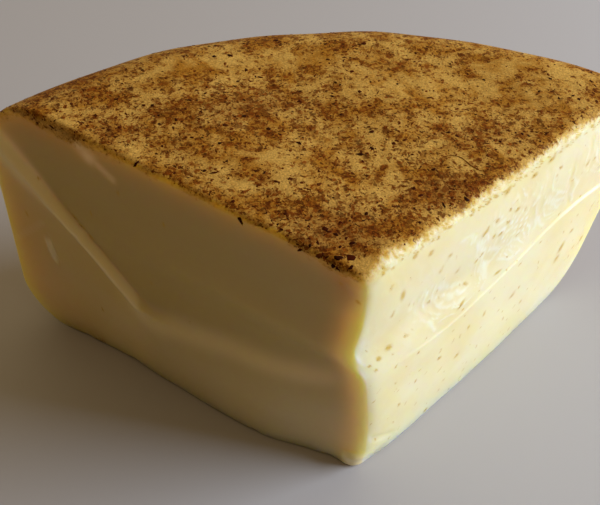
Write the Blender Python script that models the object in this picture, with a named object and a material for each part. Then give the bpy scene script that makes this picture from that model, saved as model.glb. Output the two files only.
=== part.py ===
# Hereford hop: a pressed cow's milk cheese in a coat of toasted hop flakes, as a broad wedge of
# a small wheel. One solid, standing on its flat lower face, its tip towards -Y and its curved
# outer wall towards +Y. The coat covers the top, the rounded rims and the outer wall; its largest
# flakes are low relief in the solid. Lengths are in metres. Points are worked out from the lower
# end of the tip, and the whole is centred at the end.

import bmesh
import bpy
import numpy as np

MM = 0.001

# The wheel and the cuts
WHEEL_RADIUS = 104 * MM
WHEEL_CENTRE = (-6.9 * MM, -30.8 * MM)  # behind the tip: the cuts meet short of the wheel's middle
CUT_ANGLE = np.radians(108.3)  # between the two cut faces
HEIGHT = 65.3 * MM
TOP_TILT = (0.0192, 0.0023)  # rise of the top towards +X and +Y
TOP_RIM = 13.6 * MM  # rounding of the outer rims
BASE_RIM = 12.5 * MM
TOP_EDGE = 1.5 * MM  # rounding along the cuts
BASE_EDGE = 0.9 * MM
END_EDGE = 0.7 * MM  # reach of the softening of the wall's two ends
TIP_EDGE_REACH = 2.1 * MM  # and of the tip, which is blunter
TIP_REGION = 8 * MM

# The tip edge leans to the left and isn't straight: its height and x in mm
TIP_LINE = ((0, -0.8), (15, -2.4), (32, -5.6), (44, -8.5), (58, -9.6), (66, -10.6))
TIP_LEAN_Y = -1.6 * MM
LIP_HEIGHT = 4.6 * MM  # the foot squeezed out under the tip: full up to 3/8 of this height
LIP_FADE = 1.6
LIP_REACH = 6.0 * MM
LIP_DEPTH = 0.6 * MM

# Each face was cut in two passes that left a ledge, the part below it standing proud.
# Share of the cut's length from the tip, then the height of the ledge in mm
LEFT_LEDGE = (
    (0, 38.5), (0.1, 32.6), (0.2, 28.8), (0.35, 26.4), (0.5, 23.4),
    (0.6, 22), (0.66, 28), (0.76, 38), (0.85, 44.6), (1, 54),
)
RIGHT_LEDGE = ((0, 34.6), (0.15, 32), (0.28, 31.2), (0.42, 32.8), (0.6, 36), (0.74, 39), (1, 39.4))
# Share, then how far the part below stands out at the ledge, in mm
LEFT_PROUD = ((0, 0), (0.15, 0.7), (0.52, 0.9), (0.61, 1.2), (0.84, 1.2), (1, 1.1))
RIGHT_PROUD = ((0, 0), (0.12, 0.5), (0.9, 0.5), (1, 0.3))
# Share, then how far the face stands out at the base, in mm
LEFT_BOW = ((0, 0.2), (0.17, 2.2), (0.3, 3.9), (0.45, 3.3), (0.61, 2.1), (0.78, 0.8), (1, 0.9))
RIGHT_BOW = ((0, -0.3), (0.25, 0.3), (0.5, 0.6), (0.75, 0.4), (1, 0))
LEFT_LEDGE_WIDTH = 1.4 * MM  # height that the ledge's slope takes up
RIGHT_LEDGE_WIDTH = 0.7 * MM
BOW_POWER = 1.5  # how late the bow at the base turns into the depth at the ledge
WALL_END = 0.08  # share of the wall that follows the cut faces at either end

BOX_MIDDLE = (-4.05 * MM, 36.21 * MM)  # middle of length and depth, from the tip's lower end

UNEVEN_TOP = 0.35 * MM  # gentle unevenness of top and wall
UNEVEN_WALL = 0.4 * MM
UNEVEN_LENGTH = 26 * MM
TOP_SEED = 3
WALL_SEED = 5

# Mesh
FINE_STEP = 0.7 * MM  # spacing of the points that each outline is worked out with
KEPT_EVERY = 5  # one in so many is kept along a straight stretch
CLOSE_TO_EDGE = 4  # and every one this close to an upright edge
LEVELS_BELOW = 9
LEVELS_ABOVE = 9
TOP_RINGS = (0.94, 0.86, 0.76, 0.64, 0.51, 0.37, 0.22, 0.1)
BASE_RINGS = (0.7, 0.35)

# Hop flakes
FLAKE_COUNT = 165
FLAKE_LENGTHS = (3.0 * MM, 1.3 * MM)  # from the largest to the smallest
FLAKE_WIDTHS = (0.4, 0.75)  # least and most, as a share of the length
FLAKE_HEIGHT = 0.3 * MM
FLAKE_RIM = 0.6  # height of a flake's rim, as a share of its ridge's
FLAKE_ROOT = 0.5 * MM  # how deep each is set in
FLAKE_SPACING = 3.6 * MM
FLAKE_SEED = 7
COAT_FOOT = 5 * MM  # the wall's flakes stop this far above the base
TOP_STEEPEST = 0.7  # a face of the top has at least this upward part in its normal
WALL_FLATTEST = 0.4  # and one of the wall this outward part

COAT_COLOUR = (0.45, 0.26, 0.08, 1.0)


def through(x, points):
    # A smooth curve through a few points: cubic pieces whose slopes are those between the neighbours
    at, value = np.array(points, float).T
    slope = np.gradient(value, at)
    i = np.clip(np.searchsorted(at, x) - 1, 0, len(at) - 2)
    width = at[i + 1] - at[i]
    t = np.clip((x - at[i]) / width, 0, 1)
    return (
        value[i] * (1 + 2 * t) * (1 - t) ** 2
        + value[i + 1] * t * t * (3 - 2 * t)
        + width * t * (1 - t) * (slope[i] * (1 - t) - slope[i + 1] * t)
    )


def eased(x):
    # From 0 to 1, level at both ends
    x = np.clip(x, 0, 1)
    return x * x * (3 - 2 * x)


def wavy(x, y, length, seed):
    # A smooth uneven field of about -1 to 1: six plane waves of nearly this length, in directions
    # drawn with this seed
    draw = np.random.default_rng(seed)
    total = 0
    for _ in range(6):
        angle, phase = draw.uniform(0, 2 * np.pi, 2)
        wave = 2 * np.pi / (length * draw.uniform(0.7, 1.6))
        total = total + np.sin(wave * (x * np.cos(angle) + y * np.sin(angle)) + phase)
    return total / 3.5


def rounding(radius, from_edge):
    # How far a rounded edge draws in, this far from the face that it rounds off
    from_edge = np.clip(from_edge, 0, radius)
    return radius - np.sqrt(radius**2 - (radius - from_edge) ** 2)


def top_height(x, y):
    tilted = HEIGHT + TOP_TILT[0] * x + TOP_TILT[1] * y
    return tilted + UNEVEN_TOP * wavy(x, y, UNEVEN_LENGTH, TOP_SEED)


def cut_directions():
    # Unit vectors along the left and the right cut, away from the tip, and the faces' outward normals
    half = CUT_ANGLE / 2
    left = np.array([-np.sin(half), np.cos(half)])
    right = np.array([np.sin(half), np.cos(half)])
    return left, right, np.array([-left[1], left[0]]), np.array([right[1], -right[0]])


def reach_to_wheel(start, direction, radius):
    # Distance from start, along direction, to the circle of this radius round the wheel's centre
    away = start - np.array(WHEEL_CENTRE)
    along = (away * direction).sum(-1)
    return -along + np.sqrt(along**2 - (away**2).sum(-1) + radius**2)


def side_samples():
    # The outline as three stretches, from the tip: left cut, outer wall, right cut back to the tip
    left, right, _, _ = cut_directions()
    left_length, right_length = (
        reach_to_wheel(np.zeros(2), side, WHEEL_RADIUS) for side in (left, right)
    )
    ends = np.array([left * left_length, right * right_length]) - np.array(WHEEL_CENTRE)
    angles = np.arctan2(ends[:, 0], ends[:, 1])
    wall_length = WHEEL_RADIUS * (angles[1] - angles[0])
    counts = [round(length / FINE_STEP) for length in (left_length, wall_length, right_length)]
    stretch = np.repeat([0, 1, 2], counts)
    share = np.concatenate([np.arange(count) / count for count in counts])
    share[stretch == 2] = 1 - share[stretch == 2]
    return stretch, share


def ledge_heights(stretch, share):
    # The height that parts the lower levels from the upper ones, all round
    left_end, right_end = LEFT_LEDGE[-1][1], RIGHT_LEDGE[-1][1]
    wall = left_end + (right_end - left_end) * eased(share)
    line = np.where(stretch == 0, through(share, LEFT_LEDGE), wall)
    return np.where(stretch == 2, through(share, RIGHT_LEDGE), line) * MM


def proud(share, height, line, width, at_ledge, at_base):
    # How far a cut face stands out: below the ledge from its bow at the base to its depth at the
    # ledge, above it nothing
    below = eased((line - height) / width + 0.5)
    depth = through(share, at_ledge)
    base = through(share, at_base)
    rise = np.clip(height / line, 0, 1) ** BOW_POWER
    return MM * below * (base + (depth - base) * rise)


def outline(height, top, stretch, share, line):
    # The wedge's outline at these heights, which may differ from point to point
    left, right, left_out, right_out = cut_directions()
    cut_in = rounding(TOP_EDGE, top - height) + rounding(BASE_EDGE, height)
    wall_in = rounding(TOP_RIM, top - height) + rounding(BASE_RIM, height)
    wall_radius = WHEEL_RADIUS - wall_in
    tip_x = through(height / MM, TIP_LINE) * MM
    tip_y = TIP_LEAN_Y * height / HEIGHT + cut_in / np.sin(CUT_ANGLE / 2)
    tip = np.stack([tip_x, tip_y], -1)
    # Each cut runs straight from the leaning tip edge to an upright end, moved in where the edge
    # is rounded
    sides = []
    for direction, out in ((left, left_out), (right, right_out)):
        end = direction * reach_to_wheel(np.zeros(2), direction, WHEEL_RADIUS)
        towards = end - out * cut_in[..., None] - tip
        towards = towards / np.linalg.norm(towards, axis=-1, keepdims=True)
        reach = reach_to_wheel(tip, towards, wall_radius)
        sides.append((towards, reach))
    (left_way, left_reach), (right_way, right_reach) = sides
    left_end = tip + left_way * left_reach[..., None] - np.array(WHEEL_CENTRE)
    right_end = tip + right_way * right_reach[..., None] - np.array(WHEEL_CENTRE)
    start = np.arctan2(left_end[..., 0], left_end[..., 1])
    turn = start + (np.arctan2(right_end[..., 0], right_end[..., 1]) - start) * share
    uneven = UNEVEN_WALL * wavy(turn * WHEEL_RADIUS, height, UNEVEN_LENGTH, WALL_SEED)
    radius = wall_radius + uneven * np.sin(np.pi * share)
    wall = np.stack([np.sin(turn), np.cos(turn)], -1) * radius[..., None] + WHEEL_CENTRE
    left_side = tip + left_way * (left_reach * share)[..., None]
    right_side = tip + right_way * (right_reach * share)[..., None]
    which = stretch[..., None]
    place = np.where(which == 0, left_side, np.where(which == 1, wall, right_side))
    # The cut faces stand out below their ledges, and the wall's ends go with them
    left_share, right_share = np.where(stretch == 0, share, 1), np.where(stretch == 2, share, 1)
    left_proud = proud(left_share, height, line, LEFT_LEDGE_WIDTH, LEFT_PROUD, LEFT_BOW)
    right_proud = proud(right_share, height, line, RIGHT_LEDGE_WIDTH, RIGHT_PROUD, RIGHT_BOW)
    left_part = np.where(stretch == 1, eased(1 - share / WALL_END), stretch == 0)
    right_part = np.where(stretch == 1, eased(1 - (1 - share) / WALL_END), stretch == 2)
    place = place + left_out * (left_proud * left_part)[..., None]
    place = place + right_out * (right_proud * right_part)[..., None]
    # The foot under the tip swells forward
    near = np.linalg.norm(place, axis=-1)
    low = eased(LIP_FADE * (1 - height / LIP_HEIGHT))
    place[..., 1] -= LIP_DEPTH * eased(1 - near / LIP_REACH) * low
    return place


def averaged(rings, reach):
    # Each outline averaged with itself over this reach either side, twice, which rounds its upright edges
    steps = round(reach / FINE_STEP)
    shifts = range(-steps, steps + 1)
    for _ in range(2):
        rings = sum(np.roll(rings, shift, 1) for shift in shifts) / len(shifts)
    return rings


def softened(rings):
    # The upright edges rounded, the tip's more than the wall's two ends
    from_tip = np.linalg.norm(rings[..., :2], axis=-1, keepdims=True)
    near_tip = eased(2 - 2 * from_tip / TIP_REGION)
    ends = averaged(rings, END_EDGE)
    return ends + (averaged(rings, TIP_EDGE_REACH) - ends) * near_tip


def kept_samples(stretch):
    # Every so many of the fine points, and all of those close to an upright edge
    index = np.arange(len(stretch))
    half = len(index) / 2
    corners = np.flatnonzero(np.diff(stretch, prepend=stretch[-1]))
    away = np.abs((index[:, None] - corners + half) % len(index) - half).min(1)
    along = (index % KEPT_EVERY == 0) & (away > CLOSE_TO_EDGE + 1)
    return index[(away <= CLOSE_TO_EDGE) | along]


def body_rings():
    # Rings of points up the side, from the base edge to the top edge, crowded near both
    stretch, share = side_samples()
    line = ledge_heights(stretch, share)
    below = 1 - np.cos(np.linspace(0, np.pi / 2, LEVELS_BELOW))[:, None]
    above = np.sin(np.linspace(0, np.pi / 2, LEVELS_ABOVE))[:, None]
    half_ledge = np.where(stretch == 2, RIGHT_LEDGE_WIDTH, LEFT_LEDGE_WIDTH) / 2
    lower = (line - half_ledge) * below
    start = line + half_ledge
    # The top's height is read where the top edge comes to lie
    level = np.full_like(line, HEIGHT)
    rough = outline(level, level, stretch, share, line)
    top = top_height(rough[:, 0], rough[:, 1])
    upper = start + (top - start) * above
    height = np.concatenate([lower, upper])
    place = outline(height, top[None], stretch[None], share[None], line[None])
    rings = softened(np.concatenate([place, height[..., None]], -1))
    return rings[:, kept_samples(stretch)]


def capped(rings):
    # The side's rings, carried in over the base and the top towards a middle point each
    base, top = rings[0], rings[-1]
    middle = base[:, :2].mean(0)

    def inner(ring, factor, heights):
        flat = middle + (ring[:, :2] - middle) * factor
        return np.column_stack([flat, heights(flat, factor)])

    def level(flat, factor):
        return np.zeros(len(flat))

    def top_level(flat, factor):
        step = top[:, 2] - top_height(top[:, 0], top[:, 1])
        return top_height(flat[:, 0], flat[:, 1]) + step * factor**4

    under = [inner(base, factor, level) for factor in BASE_RINGS[::-1]]
    over = [inner(top, factor, top_level) for factor in TOP_RINGS]
    rings[0, :, 2] = 0
    ends = [[*middle, 0.0], [*middle, float(top_height(*middle))]]
    return np.concatenate([under, rings, over]), ends


def body_mesh(rings, ends):
    # Quads between neighbouring rings, and a fan of triangles to the middle of the base and of the top
    rows, columns = rings.shape[:2]
    number = np.arange(rows * columns).reshape(rows, columns)
    here, there = number[:-1], number[1:]
    quads = np.stack([here, np.roll(here, -1, 1), np.roll(there, -1, 1), there], -1).reshape(-1, 4)
    low, high = rows * columns, rows * columns + 1
    fans = [(low, after, at) for at, after in zip(number[0], np.roll(number[0], -1))]
    fans += [(high, at, after) for at, after in zip(number[-1], np.roll(number[-1], -1))]
    mesh = bpy.data.meshes.new("hop_cheese")
    mesh.from_pydata([*rings.reshape(-1, 3), *ends], [], [*quads.tolist(), *fans])
    shape = bmesh.new()
    shape.from_mesh(mesh)
    bmesh.ops.recalc_face_normals(shape, faces=shape.faces)
    bmesh.ops.triangulate(shape, faces=shape.faces)
    shape.to_mesh(mesh)
    shape.free()
    return mesh


def flake_places(mesh, draw):
    # Points of the coat with their normals, spread evenly: the seeded draw takes a face by its area,
    # and a point only where no other is near
    faces = [face for face in mesh.polygons if coated(face.center, face.normal)]
    areas = np.array([face.area for face in faces])
    places = []
    while len(places) < FLAKE_COUNT:
        face = faces[draw.choice(len(faces), p=areas / areas.sum())]
        weights = draw.dirichlet((1, 1, 1))
        corners = np.array([mesh.vertices[i].co for i in face.vertices])
        spot = weights @ corners
        if all(np.linalg.norm(spot - other) > FLAKE_SPACING for other, _ in places):
            places.append((spot, np.array(face.normal)))
    return places


def coated(centre, normal):
    # True on the top, and on the wall and its rims down to where the base begins
    out = np.array(centre)[:2] - np.array(WHEEL_CENTRE)
    away = np.linalg.norm(out)
    on_top = normal.z > TOP_STEEPEST and centre.z > HEIGHT - TOP_RIM / 2
    outward = np.array(normal)[:2] @ out / away
    on_wall = away > WHEEL_RADIUS - TOP_RIM and outward > WALL_FLATTEST
    return on_top or on_wall and centre.z > COAT_FOOT


def flake(name, spot, normal, length, draw):
    # A leafy flake: an uneven six-sided plate with a low ridge, its root set into the coat
    width = length * draw.uniform(*FLAKE_WIDTHS)
    turn = draw.uniform(0, 2 * np.pi)
    across = np.cross(normal, (np.cos(turn), np.sin(turn), 0.3))
    across = across / np.linalg.norm(across)
    along = np.cross(across, normal)
    angles = np.arange(6) * np.pi / 3 + draw.uniform(-0.25, 0.25, 6)
    radii = draw.uniform(0.75, 1.1, 6) / 2
    rim = (
        np.outer(np.cos(angles) * radii * length, along)
        + np.outer(np.sin(angles) * radii * width, across)
    )
    tall = FLAKE_HEIGHT * draw.uniform(0.7, 1.2)
    upper = spot + rim + normal * tall * FLAKE_RIM
    lower = spot + rim * 0.9 - normal * FLAKE_ROOT
    points = [*upper, *lower, spot + normal * tall, spot - normal * FLAKE_ROOT * 1.1]
    faces = []
    for i in range(6):
        after = (i + 1) % 6
        faces += [(i, after, 12), (6 + i, 13, 6 + after)]
        faces += [(i, 6 + i, 6 + after), (i, 6 + after, after)]
    mesh = bpy.data.meshes.new(name)
    mesh.from_pydata(points, [], faces)
    shape = bmesh.new()
    shape.from_mesh(mesh)
    bmesh.ops.recalc_face_normals(shape, faces=shape.faces)
    shape.to_mesh(mesh)
    shape.free()
    return bpy.data.objects.new(name, mesh)


def fuse_flakes(body):
    # The flakes, joined to the body by one Boolean union that is applied
    draw = np.random.default_rng(FLAKE_SEED)
    places = flake_places(body.data, draw)
    gathered = bpy.data.collections.new("hop_flakes")
    bpy.context.scene.collection.children.link(gathered)
    lengths = np.geomspace(*FLAKE_LENGTHS, FLAKE_COUNT)
    for i, (spot, normal) in enumerate(places):
        gathered.objects.link(flake(f"hop_flake_{i}", spot, normal, lengths[i], draw))
    union = body.modifiers.new("fuse_flakes", "BOOLEAN")
    union.operation = "UNION"
    union.operand_type = "COLLECTION"
    union.collection = gathered
    union.solver = "EXACT"
    graph = bpy.context.evaluated_depsgraph_get()
    fused = bpy.data.meshes.new_from_object(body.evaluated_get(graph))
    body.modifiers.clear()
    body.data = fused
    for piece in list(gathered.objects):
        bpy.data.objects.remove(piece, do_unlink=True)
    bpy.data.collections.remove(gathered)


def centred(body):
    # Moves the mesh so that the middle of its length and depth is at the origin
    for vertex in body.data.vertices:
        vertex.co.x -= BOX_MIDDLE[0]
        vertex.co.y -= BOX_MIDDLE[1]


def coat_material():
    material = bpy.data.materials.new("hop_coat")
    material.use_nodes = True
    shader = material.node_tree.nodes["Principled BSDF"]
    shader.inputs["Base Color"].default_value = COAT_COLOUR
    shader.inputs["Roughness"].default_value = 0.5
    shader.inputs["Metallic"].default_value = 0.0
    return material


def main():
    for leftover in list(bpy.data.objects):
        bpy.data.objects.remove(leftover, do_unlink=True)
    rings, ends = capped(body_rings())
    body = bpy.data.objects.new("hop_cheese", body_mesh(rings, ends))
    bpy.context.scene.collection.objects.link(body)
    fuse_flakes(body)
    centred(body)
    body.data.materials.clear()
    body.data.materials.append(coat_material())


main()
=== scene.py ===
from functools import partial

import bpy
import numpy as np
from mathutils import Matrix, Vector


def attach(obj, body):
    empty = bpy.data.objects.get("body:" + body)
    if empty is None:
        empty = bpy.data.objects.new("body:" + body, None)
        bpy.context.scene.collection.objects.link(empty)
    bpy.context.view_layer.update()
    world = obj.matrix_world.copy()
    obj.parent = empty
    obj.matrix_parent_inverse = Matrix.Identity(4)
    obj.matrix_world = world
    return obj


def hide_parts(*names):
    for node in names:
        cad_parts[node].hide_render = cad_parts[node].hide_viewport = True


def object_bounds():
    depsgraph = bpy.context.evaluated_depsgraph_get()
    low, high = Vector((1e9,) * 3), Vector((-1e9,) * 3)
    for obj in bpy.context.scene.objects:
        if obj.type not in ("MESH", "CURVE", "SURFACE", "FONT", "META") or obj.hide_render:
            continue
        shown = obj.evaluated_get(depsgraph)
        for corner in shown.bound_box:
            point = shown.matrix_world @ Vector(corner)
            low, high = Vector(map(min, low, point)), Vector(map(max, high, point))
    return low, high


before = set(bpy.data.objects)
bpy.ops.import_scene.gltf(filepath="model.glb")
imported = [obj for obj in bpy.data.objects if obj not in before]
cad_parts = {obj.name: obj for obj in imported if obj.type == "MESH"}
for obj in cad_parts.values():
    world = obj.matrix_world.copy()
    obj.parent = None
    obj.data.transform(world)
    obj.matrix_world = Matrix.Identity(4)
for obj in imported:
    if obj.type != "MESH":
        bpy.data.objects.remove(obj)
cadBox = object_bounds()
print("frame loaded")

mm = 0.001


def through(x, points):
    # A smooth curve through a few points: cubic pieces whose slopes are those between the neighbours
    at, value = np.array(points, float).T
    slope = np.gradient(value, at)
    i = np.clip(np.searchsorted(at, x) - 1, 0, len(at) - 2)
    width = at[i + 1] - at[i]
    t = np.clip((x - at[i]) / width, 0, 1)
    steady = value[i] * (1 + 2 * t) * (1 - t) ** 2 + value[i + 1] * t * t * (3 - 2 * t)
    return steady + width * t * (1 - t) * (slope[i] * (1 - t) - slope[i + 1] * t)


def eased(x):
    # From 0 to 1, level at both ends
    x = np.clip(x, 0, 1)
    return x * x * (3 - 2 * x)


def rising(x, span):
    # From 0 to 1: where it begins, and over how much
    start, over = span
    return eased((x - start) / over)


def falling(x, span):
    # From 1 to 0: where it ends, and over how much before that
    end, over = span
    return eased((end - x) / over)


def wavy(x, y, length, seed):
    # A smooth uneven field of about -1 to 1: six plane waves of nearly this length in seeded directions
    draw = np.random.default_rng(seed)
    total = 0
    for _ in range(6):
        angle, phase = draw.uniform(0, 2 * np.pi, 2)
        wave = 2 * np.pi / (length * draw.uniform(0.7, 1.6))
        total = total + np.sin(wave * (x * np.cos(angle) + y * np.sin(angle)) + phase)
    return total / 3.5


def grainy(x, y, length, seed):
    # A rougher field of about -1 to 1: random heights on a grid of this pitch, eased between its points
    draw = np.random.default_rng(seed)
    heights = draw.uniform(-1, 1, (256, 256))
    column, row = np.floor(x / length).astype(int), np.floor(y / length).astype(int)
    across, up = eased(x / length - column), eased(y / length - row)
    column, after = column % 256, (column + 1) % 256
    low, high = (
        heights[level % 256, column] * (1 - across) + heights[level % 256, after] * across
        for level in (row, row + 1)
    )
    return low * (1 - up) + high * up


def bell(x):
    # 1 at 0, falling off on both sides: e to the power of minus x squared
    return np.exp(-(x**2))


def spot(x, y, centre, size):
    # 1 at a centre, falling off round it; size is one number or one for each axis
    wide, tall = np.broadcast_to(size, 2)
    return np.exp(-(((x - centre[0]) / wide) ** 2 + ((y - centre[1]) / tall) ** 2))


def unit(vectors):
    # The same directions, each of length 1
    return vectors / np.linalg.norm(vectors, axis=-1, keepdims=True)


def fromStroke(x, y, points):
    # Distance from a line through a few points, and which side of it: negative to the right of its way
    points = np.array(points, float)
    nearest = np.full(np.broadcast(x, y).shape, np.inf)
    side = np.zeros_like(nearest)
    for start, end in zip(points[:-1], points[1:]):
        way = end - start
        share = np.clip(((x - start[0]) * way[0] + (y - start[1]) * way[1]) / (way @ way), 0, 1)
        away = np.hypot(x - start[0] - share * way[0], y - start[1] - share * way[1])
        turned = np.sign(way[0] * (y - start[1]) - way[1] * (x - start[0]))
        side = np.where(away < nearest, turned, side)
        nearest = np.minimum(away, nearest)
    return nearest, side


def rounding(radius, fromEdge):
    # How far a rounded edge draws in, this far from the face that it rounds off
    fromEdge = np.clip(fromEdge, 0, radius)
    return radius - np.sqrt(radius**2 - (radius - fromEdge) ** 2)


# The wedge: a sector of a wheel whose tip edge leans, with the sizes of the solid, in mm
wedge = {
    "wheelRadius": 104.0,
    "wheelCentre": (-6.9, -30.8),  # x and y from the foot of the tip
    "cutAngle": 108.3,  # degrees between the two cuts
    "height": 65.3,
    "topTilt": (0.0192, 0.0023),  # rise of the top for each mm along x and y
    "topRim": 13.6,  # rounding of the wheel's rims
    "baseRim": 12.5,
    "leftTopEdge": 1.4,  # rounding of the edges of the cuts
    "rightTopEdge": 2.3,
    "baseEdge": 0.9,
    "tipDroop": 0.9,  # how far the coat's corner over the tip is worn down, its reach, and the heights
    "tipWorn": 4.5,
    "droopFrom": (58, 7),
    "endEdge": 0.7,  # reach of the softening of the wall's two ends
    "tipEdge": 2.1,  # and of the tip
    "tipRegion": 8.0,
    # height, then x of the tip's edge
    "tipLine": (
        (0, -0.6), (15, -2.0), (27, -4.0), (33, -5.2), (36, -6.2), (39, -7.9),
        (42, -9.1), (45, -9.0), (49, -8.6), (54, -8.6), (60, -8.9), (66, -9.8),
    ),
    "tipLeanY": -1.6,
    "footHeight": 4.6,  # the foot is drawn back under the tip: up to which height, how far round, how deep
    "footReach": 6.0,
    "footBack": 0.9,
    "lipSide": 1.3,  # the lip beside it on the left cut: how far out, over which mm of cut and height
    "lipAlong": (-2.5, 0.5, 4.0, 5.4),
    "lipUpTo": (4.6, 5.4),
    # share of the cut's length from the tip, then the height of the ledge that the knife left
    "leftLedge": (
        (0, 38.5), (0.1, 32.6), (0.2, 28.8), (0.35, 26.4), (0.5, 23.4),
        (0.6, 22.6), (0.65, 28), (0.7, 33), (0.76, 39.4), (0.85, 46.2), (1, 55.3),
    ),
    "rightLedge": ((0, 34.6), (0.15, 32), (0.28, 31.2), (0.42, 32.8), (0.6, 36), (0.74, 39), (1, 39.4)),
    # share, then how far the part below stands out at the ledge
    "leftProud": ((0, 0), (0.15, 0.7), (0.52, 0.9), (0.61, 1.5), (0.84, 1.6), (1, 1.3)),
    "rightProud": ((0, 0), (0.2, 0.2), (0.6, 0.35), (0.9, 0.5), (1, 0.3)),
    # and at the base
    "leftBow": ((0, 0.2), (0.17, 2.2), (0.3, 3.9), (0.45, 3.3), (0.61, 2.1), (0.78, 0.8), (1, 0.9)),
    "rightBow": ((0, -0.3), (0.25, 0.3), (0.5, 0.6), (0.75, 0.4), (1, 0)),
    # share, then the height over which the ledge goes in
    "leftLedgeWidth": ((0, 8), (0.3, 6.5), (0.5, 4.5), (0.58, 2.4), (0.64, 1.7), (0.8, 2.0), (1, 4)),
    "rightLedgeWidth": ((0, 3), (0.1, 2), (0.2, 1.2), (0.3, 0.85), (0.4, 0.8), (1, 0.8)),
    "bowPower": 1.5,
    "wallEnd": 0.08,  # share of the wall over which the cuts' bulge runs out
    "boxMiddle": (-4.05, 36.21),  # the middle of the part's frame
    "unevenTop": 0.35,  # slow unevenness of the top and the wall, and its length
    "unevenWall": 0.4,
    "unevenLength": 26.0,
}
bodyMesh = {
    "fineStep": 0.42,  # mm between the points of an outline
    "keptEvery": (1, 3, 1),  # of the points along the left cut, the wall and the right cut
    "keptAtEnds": 6,  # points that are all kept beside an end of these
    "levelsBelow": 52,  # levels below, on and above the ledge, and how strongly they crowd at their ends
    "levelsLedge": 7,
    "levelsAbove": 52,
    "crowding": 0.75,
    "wallLedge": 1.4,  # height of the ledge's levels on the wall, and what is added to it everywhere
    "ledgeMargin": 0.35,
    "topRings": 70,
    "baseRings": 8,
}

wheelCentre = np.array(wedge["wheelCentre"])
topOfTip = np.array([wedge["tipLine"][-1][1], wedge["tipLeanY"]])


def topHeight(x, y):
    tilted = wedge["height"] + wedge["topTilt"][0] * x + wedge["topTilt"][1] * y
    return tilted + wedge["unevenTop"] * wavy(x, y, wedge["unevenLength"], 3)


def cutDirections():
    # Unit vectors along the left and the right cut, away from the tip, and the faces' outward normals
    half = np.radians(wedge["cutAngle"]) / 2
    left = np.array([-np.sin(half), np.cos(half)])
    right = np.array([np.sin(half), np.cos(half)])
    return left, right, np.array([-left[1], left[0]]), np.array([right[1], -right[0]])


leftWay, rightWay, leftOut, rightOut = cutDirections()


def reachToWheel(start, way, radius):
    # Distance from start, along way, to the circle of this radius round the wheel's centre
    away = start - wheelCentre
    along = (away * way).sum(-1)
    return -along + np.sqrt(along**2 - (away**2).sum(-1) + radius**2)


leftLength = float(reachToWheel(np.zeros(2), leftWay, wedge["wheelRadius"]))
rightLength = float(reachToWheel(np.zeros(2), rightWay, wedge["wheelRadius"]))


def sideSamples():
    # The outline as three stretches, from the tip: left cut, outer wall, right cut back to the tip
    ends = np.array([leftWay * leftLength, rightWay * rightLength]) - wheelCentre
    angles = np.arctan2(ends[:, 0], ends[:, 1])
    wallLength = wedge["wheelRadius"] * (angles[1] - angles[0])
    counts = [round(length / bodyMesh["fineStep"]) for length in (leftLength, wallLength, rightLength)]
    stretch = np.repeat([0, 1, 2], counts)
    share = np.concatenate([np.arange(count) / count for count in counts])
    share[stretch == 2] = 1 - share[stretch == 2]
    return stretch, share


def ledgeHeights(stretch, share):
    # The height that parts the lower levels from the upper ones, all round
    leftEnd, rightEnd = wedge["leftLedge"][-1][1], wedge["rightLedge"][-1][1]
    wall = leftEnd + (rightEnd - leftEnd) * eased(share)
    return np.choose(stretch, [through(share, wedge["leftLedge"]), wall, through(share, wedge["rightLedge"])])


def proud(cut, share, height, line):
    # How far a cut face stands out: below the ledge from its bow at the base to its depth at the ledge
    depth, base, width = (through(share, wedge[cut + name]) for name in ("Proud", "Bow", "LedgeWidth"))
    below = eased((line - height) / width + 0.5)
    return below * (base + (depth - base) * np.clip(height / line, 0, 1) ** wedge["bowPower"])


def lipShare(s, height):
    # How much of the foot's lip there is, from mm along the left cut (below 0 on the right one) and height
    start, full, fading, end = wedge["lipAlong"]
    filled, none = wedge["lipUpTo"]
    along = eased((s - start) / (full - start)) * eased((end - s) / (end - fading))
    return along * eased((none - height) / (none - filled))


def wallIn(height, top):
    # How far the rounded rims draw the wheel's wall in at this height
    return rounding(wedge["topRim"], top - height) + rounding(wedge["baseRim"], height)


def alongCut(stretch, share, height, top):
    # mm from the tip along a cut, which ends sooner where the wall is rounded
    return share * (np.where(stretch == 0, leftLength, rightLength) - wallIn(height, top))


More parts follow.
